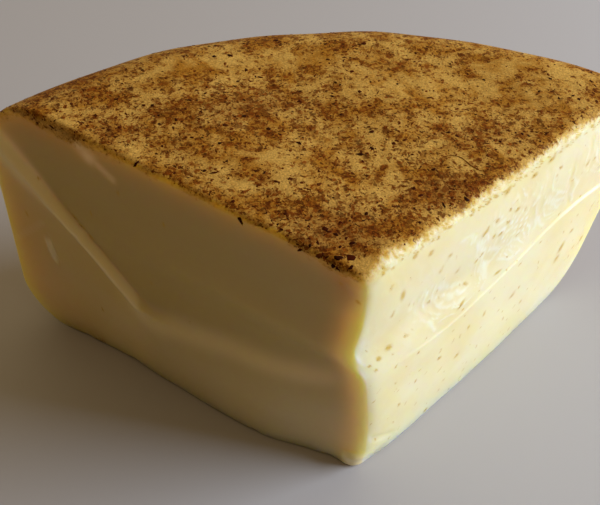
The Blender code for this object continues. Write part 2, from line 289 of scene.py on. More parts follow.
def outline(height, top, stretch, share, line):
    # The wedge's outline at these heights, which may differ from point to point
    leftIn, rightIn = (
        rounding(wedge[edge], top - height) + rounding(wedge["baseEdge"], height)
        for edge in ("leftTopEdge", "rightTopEdge")
    )
    wallRadius = wedge["wheelRadius"] - wallIn(height, top)
    # Moving the two cuts in by these amounts moves the corner between them along and across its bisector
    half = np.radians(wedge["cutAngle"]) / 2
    tipX = through(height, wedge["tipLine"]) + (leftIn - rightIn) / (2 * np.cos(half))
    tipY = wedge["tipLeanY"] * height / wedge["height"] + (leftIn + rightIn) / (2 * np.sin(half))
    tip = np.stack([tipX, tipY], -1)
    # Each cut runs straight from the leaning tip edge to an upright end
    cuts = ((leftWay, leftOut, leftLength, leftIn), (rightWay, rightOut, rightLength, rightIn))
    sides = []
    for way, out, length, cutIn in cuts:
        towards = unit(way * length - out * cutIn[..., None] - tip)
        sides.append((towards, reachToWheel(tip, towards, wallRadius)))
    (leftTowards, leftReach), (rightTowards, rightReach) = sides
    leftEnd = tip + leftTowards * leftReach[..., None] - wheelCentre
    rightEnd = tip + rightTowards * rightReach[..., None] - wheelCentre
    start = np.arctan2(leftEnd[..., 0], leftEnd[..., 1])
    turn = start + (np.arctan2(rightEnd[..., 0], rightEnd[..., 1]) - start) * share
    uneven = wedge["unevenWall"] * wavy(turn * wedge["wheelRadius"], height, wedge["unevenLength"], 5)
    radius = wallRadius + uneven * np.sin(np.pi * share)
    wall = wheelCentre + radius[..., None] * np.stack([np.sin(turn), np.cos(turn)], -1)
    leftSide = tip + leftTowards * (leftReach * share)[..., None]
    rightSide = tip + rightTowards * (rightReach * share)[..., None]
    which = stretch[..., None]
    place = np.where(which == 0, leftSide, np.where(which == 1, wall, rightSide))
    leftShare, rightShare = np.where(stretch == 0, share, 1), np.where(stretch == 2, share, 1)
    leftProud, rightProud = proud("left", leftShare, height, line), proud("right", rightShare, height, line)
    leftPart = np.where(stretch == 1, eased(1 - share / wedge["wallEnd"]), stretch == 0)
    rightPart = np.where(stretch == 1, eased(1 - (1 - share) / wedge["wallEnd"]), stretch == 2)
    place = place + leftOut * (leftProud * leftPart)[..., None]
    place = place + rightOut * (rightProud * rightPart)[..., None]
    near = np.linalg.norm(place, axis=-1)
    low = eased(1.6 - 1.6 * height / wedge["footHeight"])
    place[..., 1] += wedge["footBack"] * eased(1 - near / wedge["footReach"]) * low
    lip = lipShare(share * leftLength * np.where(stretch == 0, 1, -1), height) * (stretch != 1)
    return place + leftOut * (wedge["lipSide"] * lip)[..., None]


def averaged(rings, reach):
    # Each outline averaged with itself over this reach either side, twice, which rounds its upright edges
    steps = round(reach / bodyMesh["fineStep"])
    for _ in range(2):
        rings = sum(np.roll(rings, shift, 1) for shift in range(-steps, steps + 1)) / (2 * steps + 1)
    return rings


def softened(rings):
    # The outlines averaged over a short reach everywhere, and over a longer one near the tip
    fromTip = np.linalg.norm(rings[..., :2], axis=-1, keepdims=True)
    nearTip = eased(2 - 2 * fromTip / wedge["tipRegion"])
    ends = averaged(rings, wedge["endEdge"])
    return ends + (averaged(rings, wedge["tipEdge"]) - ends) * nearTip


# Fine relief of the two cut faces, in mm outwards, from mm along the cut (s) and height (h)
leftMarks = {
    "drag": (0.05, 5.5),  # faint waves that the knife left, and slower ones: height and length
    "swell": (0.12, 19),
    "crest": (-1.4, 1.0, 0.35),  # rounded crest along the ledge: mm above it, half width, height
    "crestFrom": (52, 3),  # where it begins and over how many mm, and where it fades
    "crestFades": (68, 12),
    "hook": (65.6, 38.0),  # small bite in the ledge, its reach and depth
    "hookReach": (1.2, 0.9),
    "hookDepth": 0.45,
    "nick": ((75.7, 30.8), (75.8, 28.3), (74.8, 24.9)),  # a nick, with paste pushed up on its other side
    "nickCut": (0.8, 0.6),  # half width and depth, half width and height
    "nickBurr": (0.6, 0.22),
    "scratches": (((50.1, 59.2), (49.4, 57.4)), ((43.7, 62.1), (42.3, 61.6))),
    "scratchBurr": (0.35, 0.06),
    # knife smears: from and to, width and strength
    "smears": (
        ((62.9, 62.0), (60.6, 60.5), 1.8, 0.7), ((60.4, 60.4), (55.2, 57.3), 1.0, 0.35),
        ((75.9, 30.5), (75.1, 25.2), 0.9, 0.7), ((86.3, 25.0), (76.0, 35.8), 1.1, 0.2),
    ),
    # chips out of the foot: middle, half width and depth
    "chips": ((57.3, 1.5, 0.6), (25.1, 1.2, 0.5), (8.0, 1.0, 0.4), (71.0, 1.3, 0.4)),
    "chipHeight": 0.9,
}
rightMarks = {
    "swell": (0.10, 15),
    "seam": (-0.15, 0.4, 0.06),  # raised lip along the seam: mm above it, half width, height, where it begins
    "seamFrom": (4, 14),
    # where the knife smeared the soft paste: strokes raised and painted pale, partly as highlight, and
    # strokes sunk and painted yellow, partly as shade
    "raised": (
        ((15.5, 48.9), (16.5, 43.9), (18.1, 40.3), (20.4, 37.3)),
        ((18.3, 43.8), (20.0, 40.1), (22.6, 37.2), (24.7, 36.2), (27.0, 36.5)),
        ((19.3, 46.6), (21.7, 43.9), (24.3, 42.6), (26.6, 41.8)),
        ((22.7, 40.2), (25.4, 39.2), (27.5, 38.2)),
        ((12.3, 46.2), (14.1, 44.5), (16.0, 40.3), (17.4, 36.4), (18.3, 33.3)),
        ((29.7, 51.3), (31.7, 44.6), (33.4, 39.6), (32.6, 37.8)),
        ((22.2, 56.8), (24.7, 56.2)),
        ((33.0, 46.2), (37.2, 43.3), (40.7, 42.8)),
        ((36.8, 40.3), (41.3, 37.4), (43.8, 37.7)),
        ((44.2, 53.4), (45.3, 49.4), (47.5, 44.7), (50.8, 39.9)),
        ((47.8, 48.2), (50.5, 47.5), (52.3, 48.6)),
        ((54.4, 55.0), (55.8, 50.8), (58.9, 46.9), (59.2, 43.2)),
        ((57.2, 62.3), (60.1, 55.5), (60.7, 50.8)),
        ((68.0, 60.0), (70.5, 54.0), (70.0, 47.5)),
        ((24.5, 56.1), (29.0, 49.9), (32.4, 42.5), (32.7, 37.4)),
        ((44.5, 58.5), (48.2, 49.6), (55.0, 42.7)),
        ((52.7, 54.7), (57.3, 45.9), (60.3, 41.5)),
    ),
    "sunk": (
        ((16.9, 44.7), (18.3, 41.4), (19.9, 38.6)),
        ((44.3, 59.9), (47.3, 51.4)),
        ((53.4, 53.7), (56.7, 46.6)),
        ((45.3, 51.8), (47.5, 46.4)),
        ((13.4, 47.5), (15.2, 43.2), (17.2, 38.5)),
        ((30.9, 49.6), (34.9, 46.9)),
        ((64.0, 60.0), (66.5, 50.0)),
        ((57.0, 60.4), (61.8, 50.4)),
        ((56.9, 65.2), (60.3, 58.5)),
        ((40.4, 56.7), (43.0, 51.0), (46.2, 45.5)),
        ((53.5, 55.0), (56.2, 48.0), (58.7, 41.7)),
    ),
    "raisedShare": 0.6,  # strength of each, and how much wider the sunk ones are
    "sunkShare": 0.9,
    "sunkWidth": 1.4,
    "strokeWidth": 0.4,
    "strokeHeight": 0.13,
    # fans of fine arcs round a middle: mm along, height, radii from and to, degrees from and to
    "fans": (
        (27, 48, 5, 16, 165, 290), (16, 41, 13, 20, -30, 70), (62, 60, 12, 23, 175, 260),
        (74, 62, 8, 20, 180, 265), (46, 66, 9, 24, 200, 285), (33, 33, 7, 20, 20, 95),
    ),
    "fanStep": 1.6,  # mm between the arcs, and how far a fan fades in: mm and radians
    "fanFade": 3,
    "fanTurn": 0.4,
    "ragged": 0.2,  # torn paste along the top edge
    "raggedReach": 2.8,
    "bitsOnRim": (200, 0.3, 3.0),  # how many small bits lie there, and how many mm below the top
    "crease": ((0.3, 11.5), (2.6, 9.2), (5.7, 6.8), (8.5, 5.2)),
    "creaseCut": (0.7, 0.35),  # half width and depth
}


def leftRelief(s, h, line):
    # Waves, plus the ledge's crest, less the bite, the nick and the chips
    marks = leftMarks
    relief = marks["drag"][0] * wavy(s * 0.35, h, marks["drag"][1], 21)
    relief = relief + marks["swell"][0] * wavy(s, h, marks["swell"][1], 22)
    above, width, height = marks["crest"]
    crest = bell((h - line - above) / width) * rising(s, marks["crestFrom"])
    relief = relief + height * (crest * (1 - 0.7 * rising(s, marks["crestFades"])))
    relief = relief - marks["hookDepth"] * spot(s, h, marks["hook"], marks["hookReach"])
    away, side = fromStroke(s, h, marks["nick"])
    (cut, deep), (burr, high) = marks["nickCut"], marks["nickBurr"]
    relief = relief - deep * bell(away / cut) * (side < 0) + high * bell(away / burr) * (side >= 0)
    burr, high = marks["scratchBurr"]
    for scratch in marks["scratches"]:
        relief = relief + high * bell(fromStroke(s, h, scratch)[0] / burr)
    for along, wide, deep in marks["chips"]:
        relief = relief - deep * spot(s, h, (along, 0), (wide, marks["chipHeight"]))
    return relief


def smearField(s, h):
    # About 1 on the raised strokes of the knife and -1 on the sunk ones, with faint drag lines between
    marks = rightMarks
    bent = s + 0.5 * wavy(s, h, 4, 31)
    width = marks["strokeWidth"] * (1.2 + 0.5 * wavy(s, h, 5, 33))
    field = 0.16 * grainy(bent * 0.9 + h * 0.35, h * 0.22, 0.9, 32)
    for number, (along, up, least, most, start, end) in enumerate(marks["fans"]):
        away = np.hypot(bent - along, h - up)
        turn = np.radians((np.degrees(np.arctan2(h - up, bent - along)) - start) % 360)
        inside = eased((away - least) / marks["fanFade"]) * eased((most - away) / marks["fanFade"])
        rest = np.radians(end - start) - turn
        inside = inside * eased(turn / marks["fanTurn"]) * eased(rest / marks["fanTurn"])
        wave = np.sin(2 * np.pi * (away + 0.9 * wavy(s, h, 8, 34 + number)) / marks["fanStep"])
        arcs = np.maximum(wave, 0) ** 2 - 0.8 * np.maximum(-wave, 0)
        field = field + inside * arcs * (0.75 + 0.45 * grainy(away, turn * 6, 2.2, 44 + number))
    for points in marks["raised"]:
        field = np.maximum(field, marks["raisedShare"] * bell(fromStroke(bent, h, points)[0] / width))
    for points in marks["sunk"]:
        stroke = bell(fromStroke(bent, h, points)[0] / (marks["sunkWidth"] * width))
        field = field - marks["sunkShare"] * stroke
    return field


def rightRelief(s, h, line, top):
    # Waves, plus the knife's smears above the seam, the seam's lip and the torn rim, less the foot's crease
    marks = rightMarks
    above = eased((h - line) / 1.5)
    relief = marks["swell"][0] * wavy(s, h, marks["swell"][1], 23)
    relief = relief + marks["strokeHeight"] * smearField(s, h) * above
    lift, width, high = marks["seam"]
    crest = high * (0.75 + 0.25 * wavy(s, h * 0, 4, 24)) * bell((h - line - lift) / width)
    relief = relief + crest * rising(s, marks["seamFrom"])
    torn = eased(1.25 - (top - h) / marks["raggedReach"]) * eased(s / 6)
    grain = grainy(s * 0.8, h, 1.5, 25) + 0.6 * grainy(s + 9, h, 0.8, 26)
    relief = relief + marks["ragged"] * torn * grain
    width, deep = marks["creaseCut"]
    return relief - deep * bell(fromStroke(s, h, marks["crease"])[0] / width) * falling(s, (10, 4))


def topRelief(x, y):
    # Low lumps where hops lie thicker under the skin of the coat
    return 0.07 * grainy(x, y, 3.1, 41) + 0.05 * grainy(x + 40, y, 1.7, 42) + 0.06 * wavy(x, y, 11, 43)


# The coat of hops: where it lies, and its dark and thin places
coat = {
    # mm of bare rim between the coat and the cuts, and how far their paste is stained under it
    "bare": {"left": 0.1, "right": 0.4, "tip": 1.7, "base": 1.6},
    "stained": {"left": 2.0, "right": 1.5, "tip": 5.0},
    "tipAt": (-5.5, 2.2),  # middle of the bare patch beside the tip: x, y and its reach
    "tipReach": 3.8,
    "tipStained": 4.5,  # reach of the fading stain round the tip
    "leftward": (0.62, 10),  # how the left rim gives way to the right one: share at the tip, mm of the change
    # how far the coat hangs over the left edge beside the tip, and where: mm from the tip, half width
    "draped": 2.1,
    "drapedAt": (5.2, 3.8),
    # where a thin gold edge runs further down the left cut, and how much further the coat and its stain reach
    "thinAt": (63.0, 8.5),
    "thin": (2.4, 2.4),
    # dark clouds and pale thin places of the top: x, y, half width, half depth, strength
    "clouds": (
        (-22.3, 41.3, 15, 4.5, 1.0), (-49.6, 36.1, 8, 4.0, 0.8), (-54.5, 47.9, 8, 3.5, 0.6),
        (18.5, 30.4, 11, 5.0, 0.55), (7.7, 15.7, 8, 4.0, 1.1), (-12.2, 8.2, 9, 6.5, 1.4),
        (-33.0, 25.0, 7, 3.5, 0.4), (38.0, 38.0, 9, 4.0, 0.2),
    ),
    "pale": (
        (-52.6, 33.0, 5, 2.5, 0.6), (-31.8, 54.3, 7, 2.5, 0.9), (30.4, 49.3, 9, 2.5, 1.0),
        (-10.7, 54.9, 8, 2.2, 0.9), (-27.0, 26.0, 8, 4.0, 0.5), (8.0, 44.0, 14, 5.0, 0.5),
        (-60.0, 35.0, 8, 4.5, 1.6), (34.0, 40.0, 12, 6.0, 0.4), (-9.3, 1.0, 4.0, 2.8, 1.3),
    ),
}


def wheelDepth(points):
    # Depth below the skin of the whole wheel, whose rims are rounded
    away = np.hypot(points[:, 0] - wheelCentre[0], points[:, 1] - wheelCentre[1])
    top = topHeight(points[:, 0], points[:, 1])
    rim = np.where(points[:, 2] > top / 2, wedge["topRim"], wedge["baseRim"])
    outside = away - (wedge["wheelRadius"] - rim)
    upward = np.abs(points[:, 2] - top / 2) - (top / 2 - rim)
    corner = np.hypot(np.maximum(outside, 0), np.maximum(upward, 0))
    return rim - corner - np.minimum(np.maximum(outside, upward), 0)


def insideCuts(points):
    # Distance inwards from the nearer cut face, taken as upright planes from the leaning tip edge
    height = points[:, 2]
    tip = np.stack([through(height, wedge["tipLine"]), wedge["tipLeanY"] * height / wedge["height"]], -1)
    result = []
    for way, out, length in ((leftWay, leftOut, leftLength), (rightWay, rightOut, rightLength)):
        towards = way * length - tip
        normal = unit(np.stack([towards[:, 1], -towards[:, 0]], -1))
        normal = normal * np.sign(normal @ out)[:, None]
        result.append(-((points[:, :2] - tip) * normal).sum(1))
    return np.minimum(*result)


def fromCutEdge(points):
    # mm from the edge between the wheel's skin and the cuts: above 0 on the skin and below 0 down the cuts
    return np.clip(insideCuts(points), -2, 12) - np.maximum(wheelDepth(points), 0)


def cloudField(x, y):
    # The dark clouds' strength, less that of the pale places
    darker, paler = (
        sum(strength * spot(x, y, (a, b), (wide, tall)) for a, b, wide, tall, strength in coat[kind])
        for kind in ("clouds", "pale")
    )
    return darker - paler


def bodyRings():
    # The side as rings of points, one for each level from the base to the top
    stretch, share = sideSamples()
    line = ledgeHeights(stretch, share)
    left, right = through(share, wedge["leftLedgeWidth"]), through(share, wedge["rightLedgeWidth"])
    width = np.choose(stretch, [left, np.full_like(line, bodyMesh["wallLedge"]), right])
    half = width / 2 + bodyMesh["ledgeMargin"]

    def crowded(count):
        # from 0 to 1, closer together near both ends
        t = np.linspace(0, 1, count)
        return (t - bodyMesh["crowding"] * np.sin(2 * np.pi * t) / (2 * np.pi))[:, None]

    level = np.full_like(line, wedge["height"])
    rough = outline(level, level, stretch, share, line)
    top = topHeight(rough[:, 0], rough[:, 1])
    lower = (line - half) * crowded(bodyMesh["levelsBelow"])
    ledge = line + half * np.linspace(-1, 1, bodyMesh["levelsLedge"] + 2)[1:-1, None]
    upper = line + half + (top - line - half) * crowded(bodyMesh["levelsAbove"])
    height = np.concatenate([lower, ledge, upper])
    place = outline(height, top[None], stretch[None], share[None], line[None])
    rings = softened(np.concatenate([place, height[..., None]], -1))
    # Fine relief of the cuts, and none where the wall begins
    s = alongCut(stretch, share, height, top)
    fade = eased((1 - share) / 0.02)
    onLeft = (stretch == 0) * fade * leftRelief(s, height, line)
    onRight = (stretch == 2) * fade * rightRelief(s, height, line, top)
    nearTip = eased(s / 2.0)
    rings[..., :2] += (onLeft * nearTip)[..., None] * leftOut + (onRight * nearTip)[..., None] * rightOut
    every = np.array(bodyMesh["keptEvery"])[stretch]
    index = np.arange(len(stretch))
    corners = np.flatnonzero(np.diff(stretch, prepend=stretch[-1]))
    gap = np.abs((index[:, None] - corners + len(index) / 2) % len(index) - len(index) / 2).min(1)
    kept = (index % every == 0) | (gap <= bodyMesh["keptAtEnds"])
    return rings[:, kept], stretch[kept], share[kept]


def capped(rings):
    # The side's rings carried in over the base and the top, towards a middle point each
    base, top = rings[0].copy(), rings[-1].copy()
    middle = base[:, :2].mean(0)
    shrink = np.linspace(1, 0, bodyMesh["topRings"] + 2)[1:-1, None, None]
    flat = middle + (top[None, :, :2] - middle) * shrink
    step = (top[:, 2] - topHeight(top[:, 0], top[:, 1])) * shrink[..., 0] ** 8
    relief = topRelief(flat[..., 0], flat[..., 1]) * eased((1 - shrink[..., 0]) * 12)
    over = np.concatenate([flat, (topHeight(flat[..., 0], flat[..., 1]) + step + relief)[..., None]], -1)
    shrink = np.linspace(0, 1, bodyMesh["baseRings"] + 2)[1:-1, None, None]
    flat = middle + (base[None, :, :2] - middle) * shrink
    under = np.concatenate([flat, np.zeros_like(flat[..., :1])], -1)
    rings[0, :, 2] = 0
    ends = np.array([[*middle, 0.0], [*middle, float(topHeight(*middle) + topRelief(*middle))]])
    return np.concatenate([under, rings, over]), ends


def gridFaces(rows, columns):
    # Quads of a grid whose columns close on themselves, seen from outside when the columns run clockwise
    number = np.arange(rows * columns).reshape(rows, columns)
    here, there = number[:-1], number[1:]
    return np.stack([here, there, np.roll(there, -1, 1), np.roll(here, -1, 1)], -1).reshape(-1, 4)


def fan(middle, start, end):
    # Triangles from one middle point to edges that run from the start points to the end points
    return np.stack([np.full_like(start, middle), start, end], -1)


def addThing(name, data):
    # An object in the scene for this mesh, light or camera
    thing = bpy.data.objects.new(name, data)
    bpy.context.scene.collection.objects.link(thing)
    return thing


def makeMesh(name, points, quads, triangles=None, bounded=True):
    # points in mm from the tip's foot, moved to the part's frame and, if bounded, kept in the solid's box
    triangles = np.zeros((0, 3), int) if triangles is None else triangles
    mesh = bpy.data.meshes.new(name)
    placed = (points - [*wedge["boxMiddle"], 0]) * mm
    if bounded:
        placed = np.clip(placed, *np.array([list(corner) for corner in cadBox]))
    mesh.vertices.add(len(placed))
    mesh.vertices.foreach_set("co", placed.astype(np.float32).ravel())
    corners = np.concatenate([quads.ravel(), triangles.ravel()]).astype(np.int32)
    sizes = np.repeat([4, 3], [len(quads), len(triangles)])
    mesh.loops.add(len(corners))
    mesh.loops.foreach_set("vertex_index", corners)
    mesh.polygons.add(len(sizes))
    mesh.polygons.foreach_set("loop_start", (np.cumsum(sizes) - sizes).astype(np.int32))
    mesh.polygons.foreach_set("use_smooth", np.full(len(sizes), True))
    mesh.update(calc_edges=True)
    mesh.validate()
    return addThing(name, mesh)


def addField(thing, name, values):
    # One number for each point of the mesh, which the materials read by name
    attribute = thing.data.attributes.new(name, "FLOAT", "POINT")
    attribute.data.foreach_set("value", np.asarray(values, np.float32))


rings, stretch, share = bodyRings()
rings, ends = capped(rings)
rows, columns = rings.shape[:2]
bodyPoints = np.concatenate([rings.reshape(-1, 3), ends])
worn = wedge["tipDroop"] * spot(bodyPoints[:, 0], bodyPoints[:, 1], topOfTip, wedge["tipWorn"])
bodyPoints[:, 2] -= worn * rising(bodyPoints[:, 2], wedge["droopFrom"])
low, high = rows * columns, rows * columns + 1
firstRow = np.arange(columns)
lastRow = firstRow + (rows - 1) * columns
caps = np.concatenate([fan(low, firstRow, np.roll(firstRow, -1)), fan(high, np.roll(lastRow, -1), lastRow)])
cheese = makeMesh("cheeseBody", bodyPoints, gridFaces(rows, columns), caps)
print("body", len(bodyPoints), "points", len(cheese.data.polygons), "faces")


def sideOf(rowCount):
    # For each place of a grid with this many rows: 0 on the left cut, 2 on the right one and 1 elsewhere,
    # and the mm along the cut
    row = np.arange(rowCount)[:, None] + 0 * np.arange(columns)
    onSide = (row >= bodyMesh["baseRings"]) & (row < rows - bodyMesh["topRings"])
    side = np.where(onSide, stretch[None], 1)
    x, y, height = np.moveaxis(rings[:rowCount], -1, 0)
    return side.ravel(), alongCut(stretch, share, height, topHeight(x, y)).ravel()


def atMmFromTip(points, place):
    # 1 at so many mm from the top of the tip, falling off within this half width
    middle, width = coat[place]
    return bell((np.linalg.norm(points[:, :2] - topOfTip, axis=1) - middle) / width)


def bareRim(points):
    # mm of bare rim: more over the tip and along the right cut
    away = points[:, :2] - topOfTip
    share, change = coat["leftward"]
    leftward = eased(share + (away @ leftOut - away @ rightOut) / change)
    nearTip = spot(points[:, 0], points[:, 1], coat["tipAt"], coat["tipReach"])
    rim = coat["bare"]["left"] + (coat["bare"]["right"] - coat["bare"]["left"]) * (1 - leftward)
    rim = rim - coat["draped"] * leftward * atMmFromTip(points, "drapedAt")
    rim = rim - coat["thin"][0] * atMmFromTip(points, "thinAt") * leftward
    rim = rim + coat["bare"]["base"] * (points[:, 2] < 10)
    return rim + coat["bare"]["tip"] * nearTip, leftward


# Where the paste's colour differs along the ledge and the seam, in mm, and by how much; most of it is painted
# light and painted shade
hues = {
    "crestAt": -0.8,  # the ledge's crest, painted pale and gold as a highlight where it catches the light: mm above it
    "crestUp": (1.3, 2.2),  # how far it reaches up and down, and how much further at the outer end
    "crestDown": (1.7, 2.6),
    "broader": (68, 14),
    "soft": (-2.5, 3.2, 0.5),  # a soft golden band of painted light along the rest: mm above it, half width, strength
    "softFrom": (0, 16),
    "softEnd": (62, 10),
    "below": 4,  # mm below the ledge over which the paste is painted lighter and more golden, as painted light, and where that begins along the cut
    "belowFrom": (48, 8),
    "paintedTipGlow": (8, 8),  # painted glow where light comes through the tip: mm along the cut, and up to which height
    "thinUpTo": (60, 8),
    "seam": (-0.15, 0.45, 0.3),  # the seam, painted pale as a highlight on its raised lip: mm above it, half width, strength, and where it comes up
    "seamFrom": (8, 20),
    # how pale the foot's lip and the ledge's crest are painted, as painted light where they catch it, and the
    # share of that on the left cut
    "pale": {"lip": 0.5, "crest": 0.42, "left": 0.7},
    "firmSmear": 0.75,
    # how dark the painted shade on the left cut is, how much less of it there is below its ledge and at its
    # foot, and where it begins
    "paintedShade": {"most": 0.97, "below": 0.1, "foot": 0.4},
    "paintedShadeFrom": (-1, 6),
    "gold": {"soft": 0.7, "tip": 0.9, "pale": 1.4, "below": 0.3},  # how golden each of these is painted: painted light, a painted glow at the tip, and the smears' own tone
    # flecks of the right cut: everywhere, more towards the foot, and more in the torn rim
    "flecked": {"all": 0.18, "foot": 0.36, "torn": 0.4},
    "coatAbove": 50,  # height above which the clouds and the torn rim are drawn
}


def coatFields(h, edge, rim, leftward):
    # mm inside the coat's edge, how stained the paste is beside it, and the coat's clouds
    x, y = bodyPoints[:, 0], bodyPoints[:, 1]
    stained = coat["stained"]
    reach = stained["right"] + (stained["left"] - stained["right"]) * leftward
    reach = reach + coat["thin"][1] * atMmFromTip(bodyPoints, "thinAt") * leftward
    tipStain = spot(x, y, topOfTip, coat["tipStained"])
    reach = reach + stained["tip"] * tipStain * np.maximum(leftward, 0.6)
    addField(cheese, "edge", edge - rim)
    addField(cheese, "stain", bell(np.maximum(rim - edge, 0) / reach))
    addField(cheese, "cloud", cloudField(x, y) * (edge > -3) * (h > hues["coatAbove"]))


def bodyFields():
    side, s = (np.append(values, [1, 0]) for values in sideOf(rows))
    h = bodyPoints[:, 2]
    right, left = side == 2, side == 0
    edge, (rim, leftward) = fromCutEdge(bodyPoints), bareRim(bodyPoints)
    coatFields(h, edge, rim, leftward)
    # the right cut's strokes and seam: pale raised and yellow sunk strokes, partly their own tone and partly
    # painted highlight and shade on their relief, and the seam painted pale as a highlight
    line = through(np.clip(s / rightLength, 0, 1), wedge["rightLedge"])
    above, width, strength = hues["seam"]
    seam = strength * bell((h - line - above) / width) * rising(s, hues["seamFrom"])
    smearAndPaintedLight = np.where(right, np.maximum(smearField(s, h) * eased((h - line) / 1.5), seam), 0)
    # paste painted whiter: the foot's lip and the ledge's crest as painted light where they catch it, and the
    # smears of the left cut
    line = through(np.clip(s / leftLength, 0, 1), wedge["leftLedge"])
    up = h - line
    broad = rising(s, hues["broader"])
    reach = [least + more * broad for least, more in (hues["crestUp"], hues["crestDown"])]
    crest = bell((up - hues["crestAt"]) / np.where(up > hues["crestAt"], *reach))
    crest = crest * rising(s, leftMarks["crestFrom"])
    above, width, strength = hues["soft"]
    soft = strength * bell((up - above) / width) * rising(s, hues["softFrom"]) * falling(s, hues["softEnd"])
    lip = np.where(side == 1, 0, lipShare(np.where(right, -s, s), h))
    tint = hues["pale"]
    pale = np.maximum(tint["lip"] * lip, tint["crest"] * crest)
    for start, end, width, strength in leftMarks["smears"]:
        pale = np.maximum(pale, strength * bell(fromStroke(s, h, (start, end))[0] / width))
    smearedAndLit = np.where(left, tint["left"] * pale, np.maximum(smearAndPaintedLight, tint["lip"] * lip))
    addField(cheese, "smearAndPaintedLight", smearedAndLit)
    # where less light passes under the surface, which keeps the knife's marks crisp
    sharp = np.where(left, np.maximum(crest, pale), np.minimum(hues["firmSmear"] * np.abs(smearAndPaintedLight), 1))
    addField(cheese, "firm", np.maximum(sharp, lip))
    below = eased(-up / hues["below"]) * rising(s, hues["belowFrom"])
    # painted shade: the left cut painted darker and browner, less so on the lit crest and soft band, below
    # the ledge, at its foot and on the lip
    tint = hues["paintedShade"]
    paintedShade = rising(s, hues["paintedShadeFrom"]) * (1 - np.maximum(crest, soft))
    paintedShade = paintedShade * (1 - tint["foot"] * eased(1.6 - h / 18)) * (1 - lip)
    addField(cheese, "paintedShade", np.where(left, tint["most"] * paintedShade * (1 - tint["below"] * below), 0))
    # painted light on the left cut: gold on the lit crest, the soft band, the lower face and the lip, and a
    # painted glow at the tip
    tint = hues["gold"]
    paintedTipGlow = tint["tip"] * falling(s, hues["paintedTipGlow"]) * falling(h, hues["thinUpTo"]) * (1 - lip)
    knifedAndLit = np.minimum(tint["pale"] * pale, 1)
    golden = np.max([crest, tint["soft"] * soft, paintedTipGlow, knifedAndLit, tint["below"] * below, lip], axis=0)
    addField(cheese, "golden", np.where(left, golden, 0))
    # the torn rim: real crumbs, whose white is partly a painted highlight on the lit rounded rim
    fromTop = np.maximum(topHeight(bodyPoints[:, 0], bodyPoints[:, 1]) - h, 0)
    torn = eased(1.3 - fromTop / rightMarks["raggedReach"]) * (1 - leftward) * eased(0.5 + rim - edge)
    torn = torn * np.where(left, 0, 1) * (h > hues["coatAbove"])
    tint = hues["flecked"]
    flecked = tint["all"] + tint["foot"] * eased(1 - h / 60) + tint["torn"] * torn
    addField(cheese, "flecked", np.where(right, flecked, 0))
    addField(cheese, "torn", torn)
    return side, s


cheeseSide, cheeseAlong = bodyFields()


def linear(hexCode):
    # An sRGB colour written as six hex digits, as linear numbers
    parts = np.array([int(hexCode[i : i + 2], 16) for i in (1, 3, 5)]) / 255
    return (*np.where(parts <= 0.04045, parts / 12.92, ((parts + 0.055) / 1.055) ** 2.4), 1.0)


# The shader nodes in use: type, settings, the inputs given in order, and the output handed on
nodeKinds = {
    "plus": ("Math", {"operation": "ADD"}, (0, 1), 0),
    "minus": ("Math", {"operation": "SUBTRACT"}, (0, 1), 0),
    "times": ("Math", {"operation": "MULTIPLY"}, (0, 1), 0),
    "power": ("Math", {"operation": "POWER"}, (0, 1), 0),
    "larger": ("Math", {"operation": "MAXIMUM"}, (0, 1), 0),
    "fit": ("MapRange", {"interpolation_type": "LINEAR"}, (0, 1, 2, 3, 4), 0),
    "ease": ("MapRange", {"interpolation_type": "SMOOTHSTEP"}, (0, 1, 2, 3, 4), 0),
    "mix": ("Mix", {"data_type": "RGBA"}, (0, 6, 7), 2),
    "shade": ("Mix", {"data_type": "RGBA", "blend_type": "MULTIPLY"}, (0, 6, 7), 2),
    "sum": ("Mix", {"data_type": "RGBA", "blend_type": "ADD"}, (0, 6, 7), 2),
    "field": ("Attribute", {}, (), "Fac"),
    "place": ("TexCoord", {}, (), "Object"),
    "direction": ("TexCoord", {}, (), "Generated"),
    "noise": ("TexNoise", {}, ("Vector", "Scale", "Detail", "Roughness", "Distortion"), "Fac"),
    "threeNoises": ("TexNoise", {}, ("Vector", "Scale"), "Color"),
    "mosaic": ("TexVoronoi", {"feature": "F1"}, ("Vector", "Scale"), None),
    "parts": ("SeparateColor", {}, (0,), None),
    "dot": ("VectorMath", {"operation": "DOT_PRODUCT"}, (0, 1), "Value"),
    "shift": ("VectorMath", {"operation": "ADD"}, (0, 1), 0),
    "less": ("VectorMath", {"operation": "SUBTRACT"}, (0, 1), 0),
    "stretch": ("VectorMath", {"operation": "MULTIPLY"}, (0, 1), 0),
    "scale": ("VectorMath", {"operation": "SCALE"}, (0, "Scale"), 0),
    "bump": ("Bump", {}, ("Height", "Strength", "Distance"), 0),
}


def setInput(node, socket, value):
    # A link, an sRGB hex colour or a plain value for one input
    if isinstance(value, bpy.types.NodeSocket):
        node.id_data.links.new(value, node.inputs[socket])
    else:
        node.inputs[socket].default_value = linear(value) if isinstance(value, str) else value


def setInputs(node, values):
    for socket, value in values.items():
        setInput(node, socket, value)


def addNode(tree, kind, *values, **settings):
    # A node of one of the kinds above, and its output: all its outputs where the table names none
    form, preset, sockets, out = nodeKinds[kind]
    node = tree.nodes.new("ShaderNode" + form)
    for name, value in {**preset, **settings}.items():
        setattr(node, name, value)
    setInputs(node, dict(zip(sockets, values)))
    return node.outputs if out is None else node.outputs[out]


def newMaterial(name):
    # A material, what adds nodes to it, and its surface shader
    material = bpy.data.materials.new(name)
    material.use_nodes = True
    return material, partial(addNode, material.node_tree), material.node_tree.nodes["Principled BSDF"]


def perMm(size):
    # The scale of a pattern whose lumps are about this many mm across
    return 1 / (size * mm)


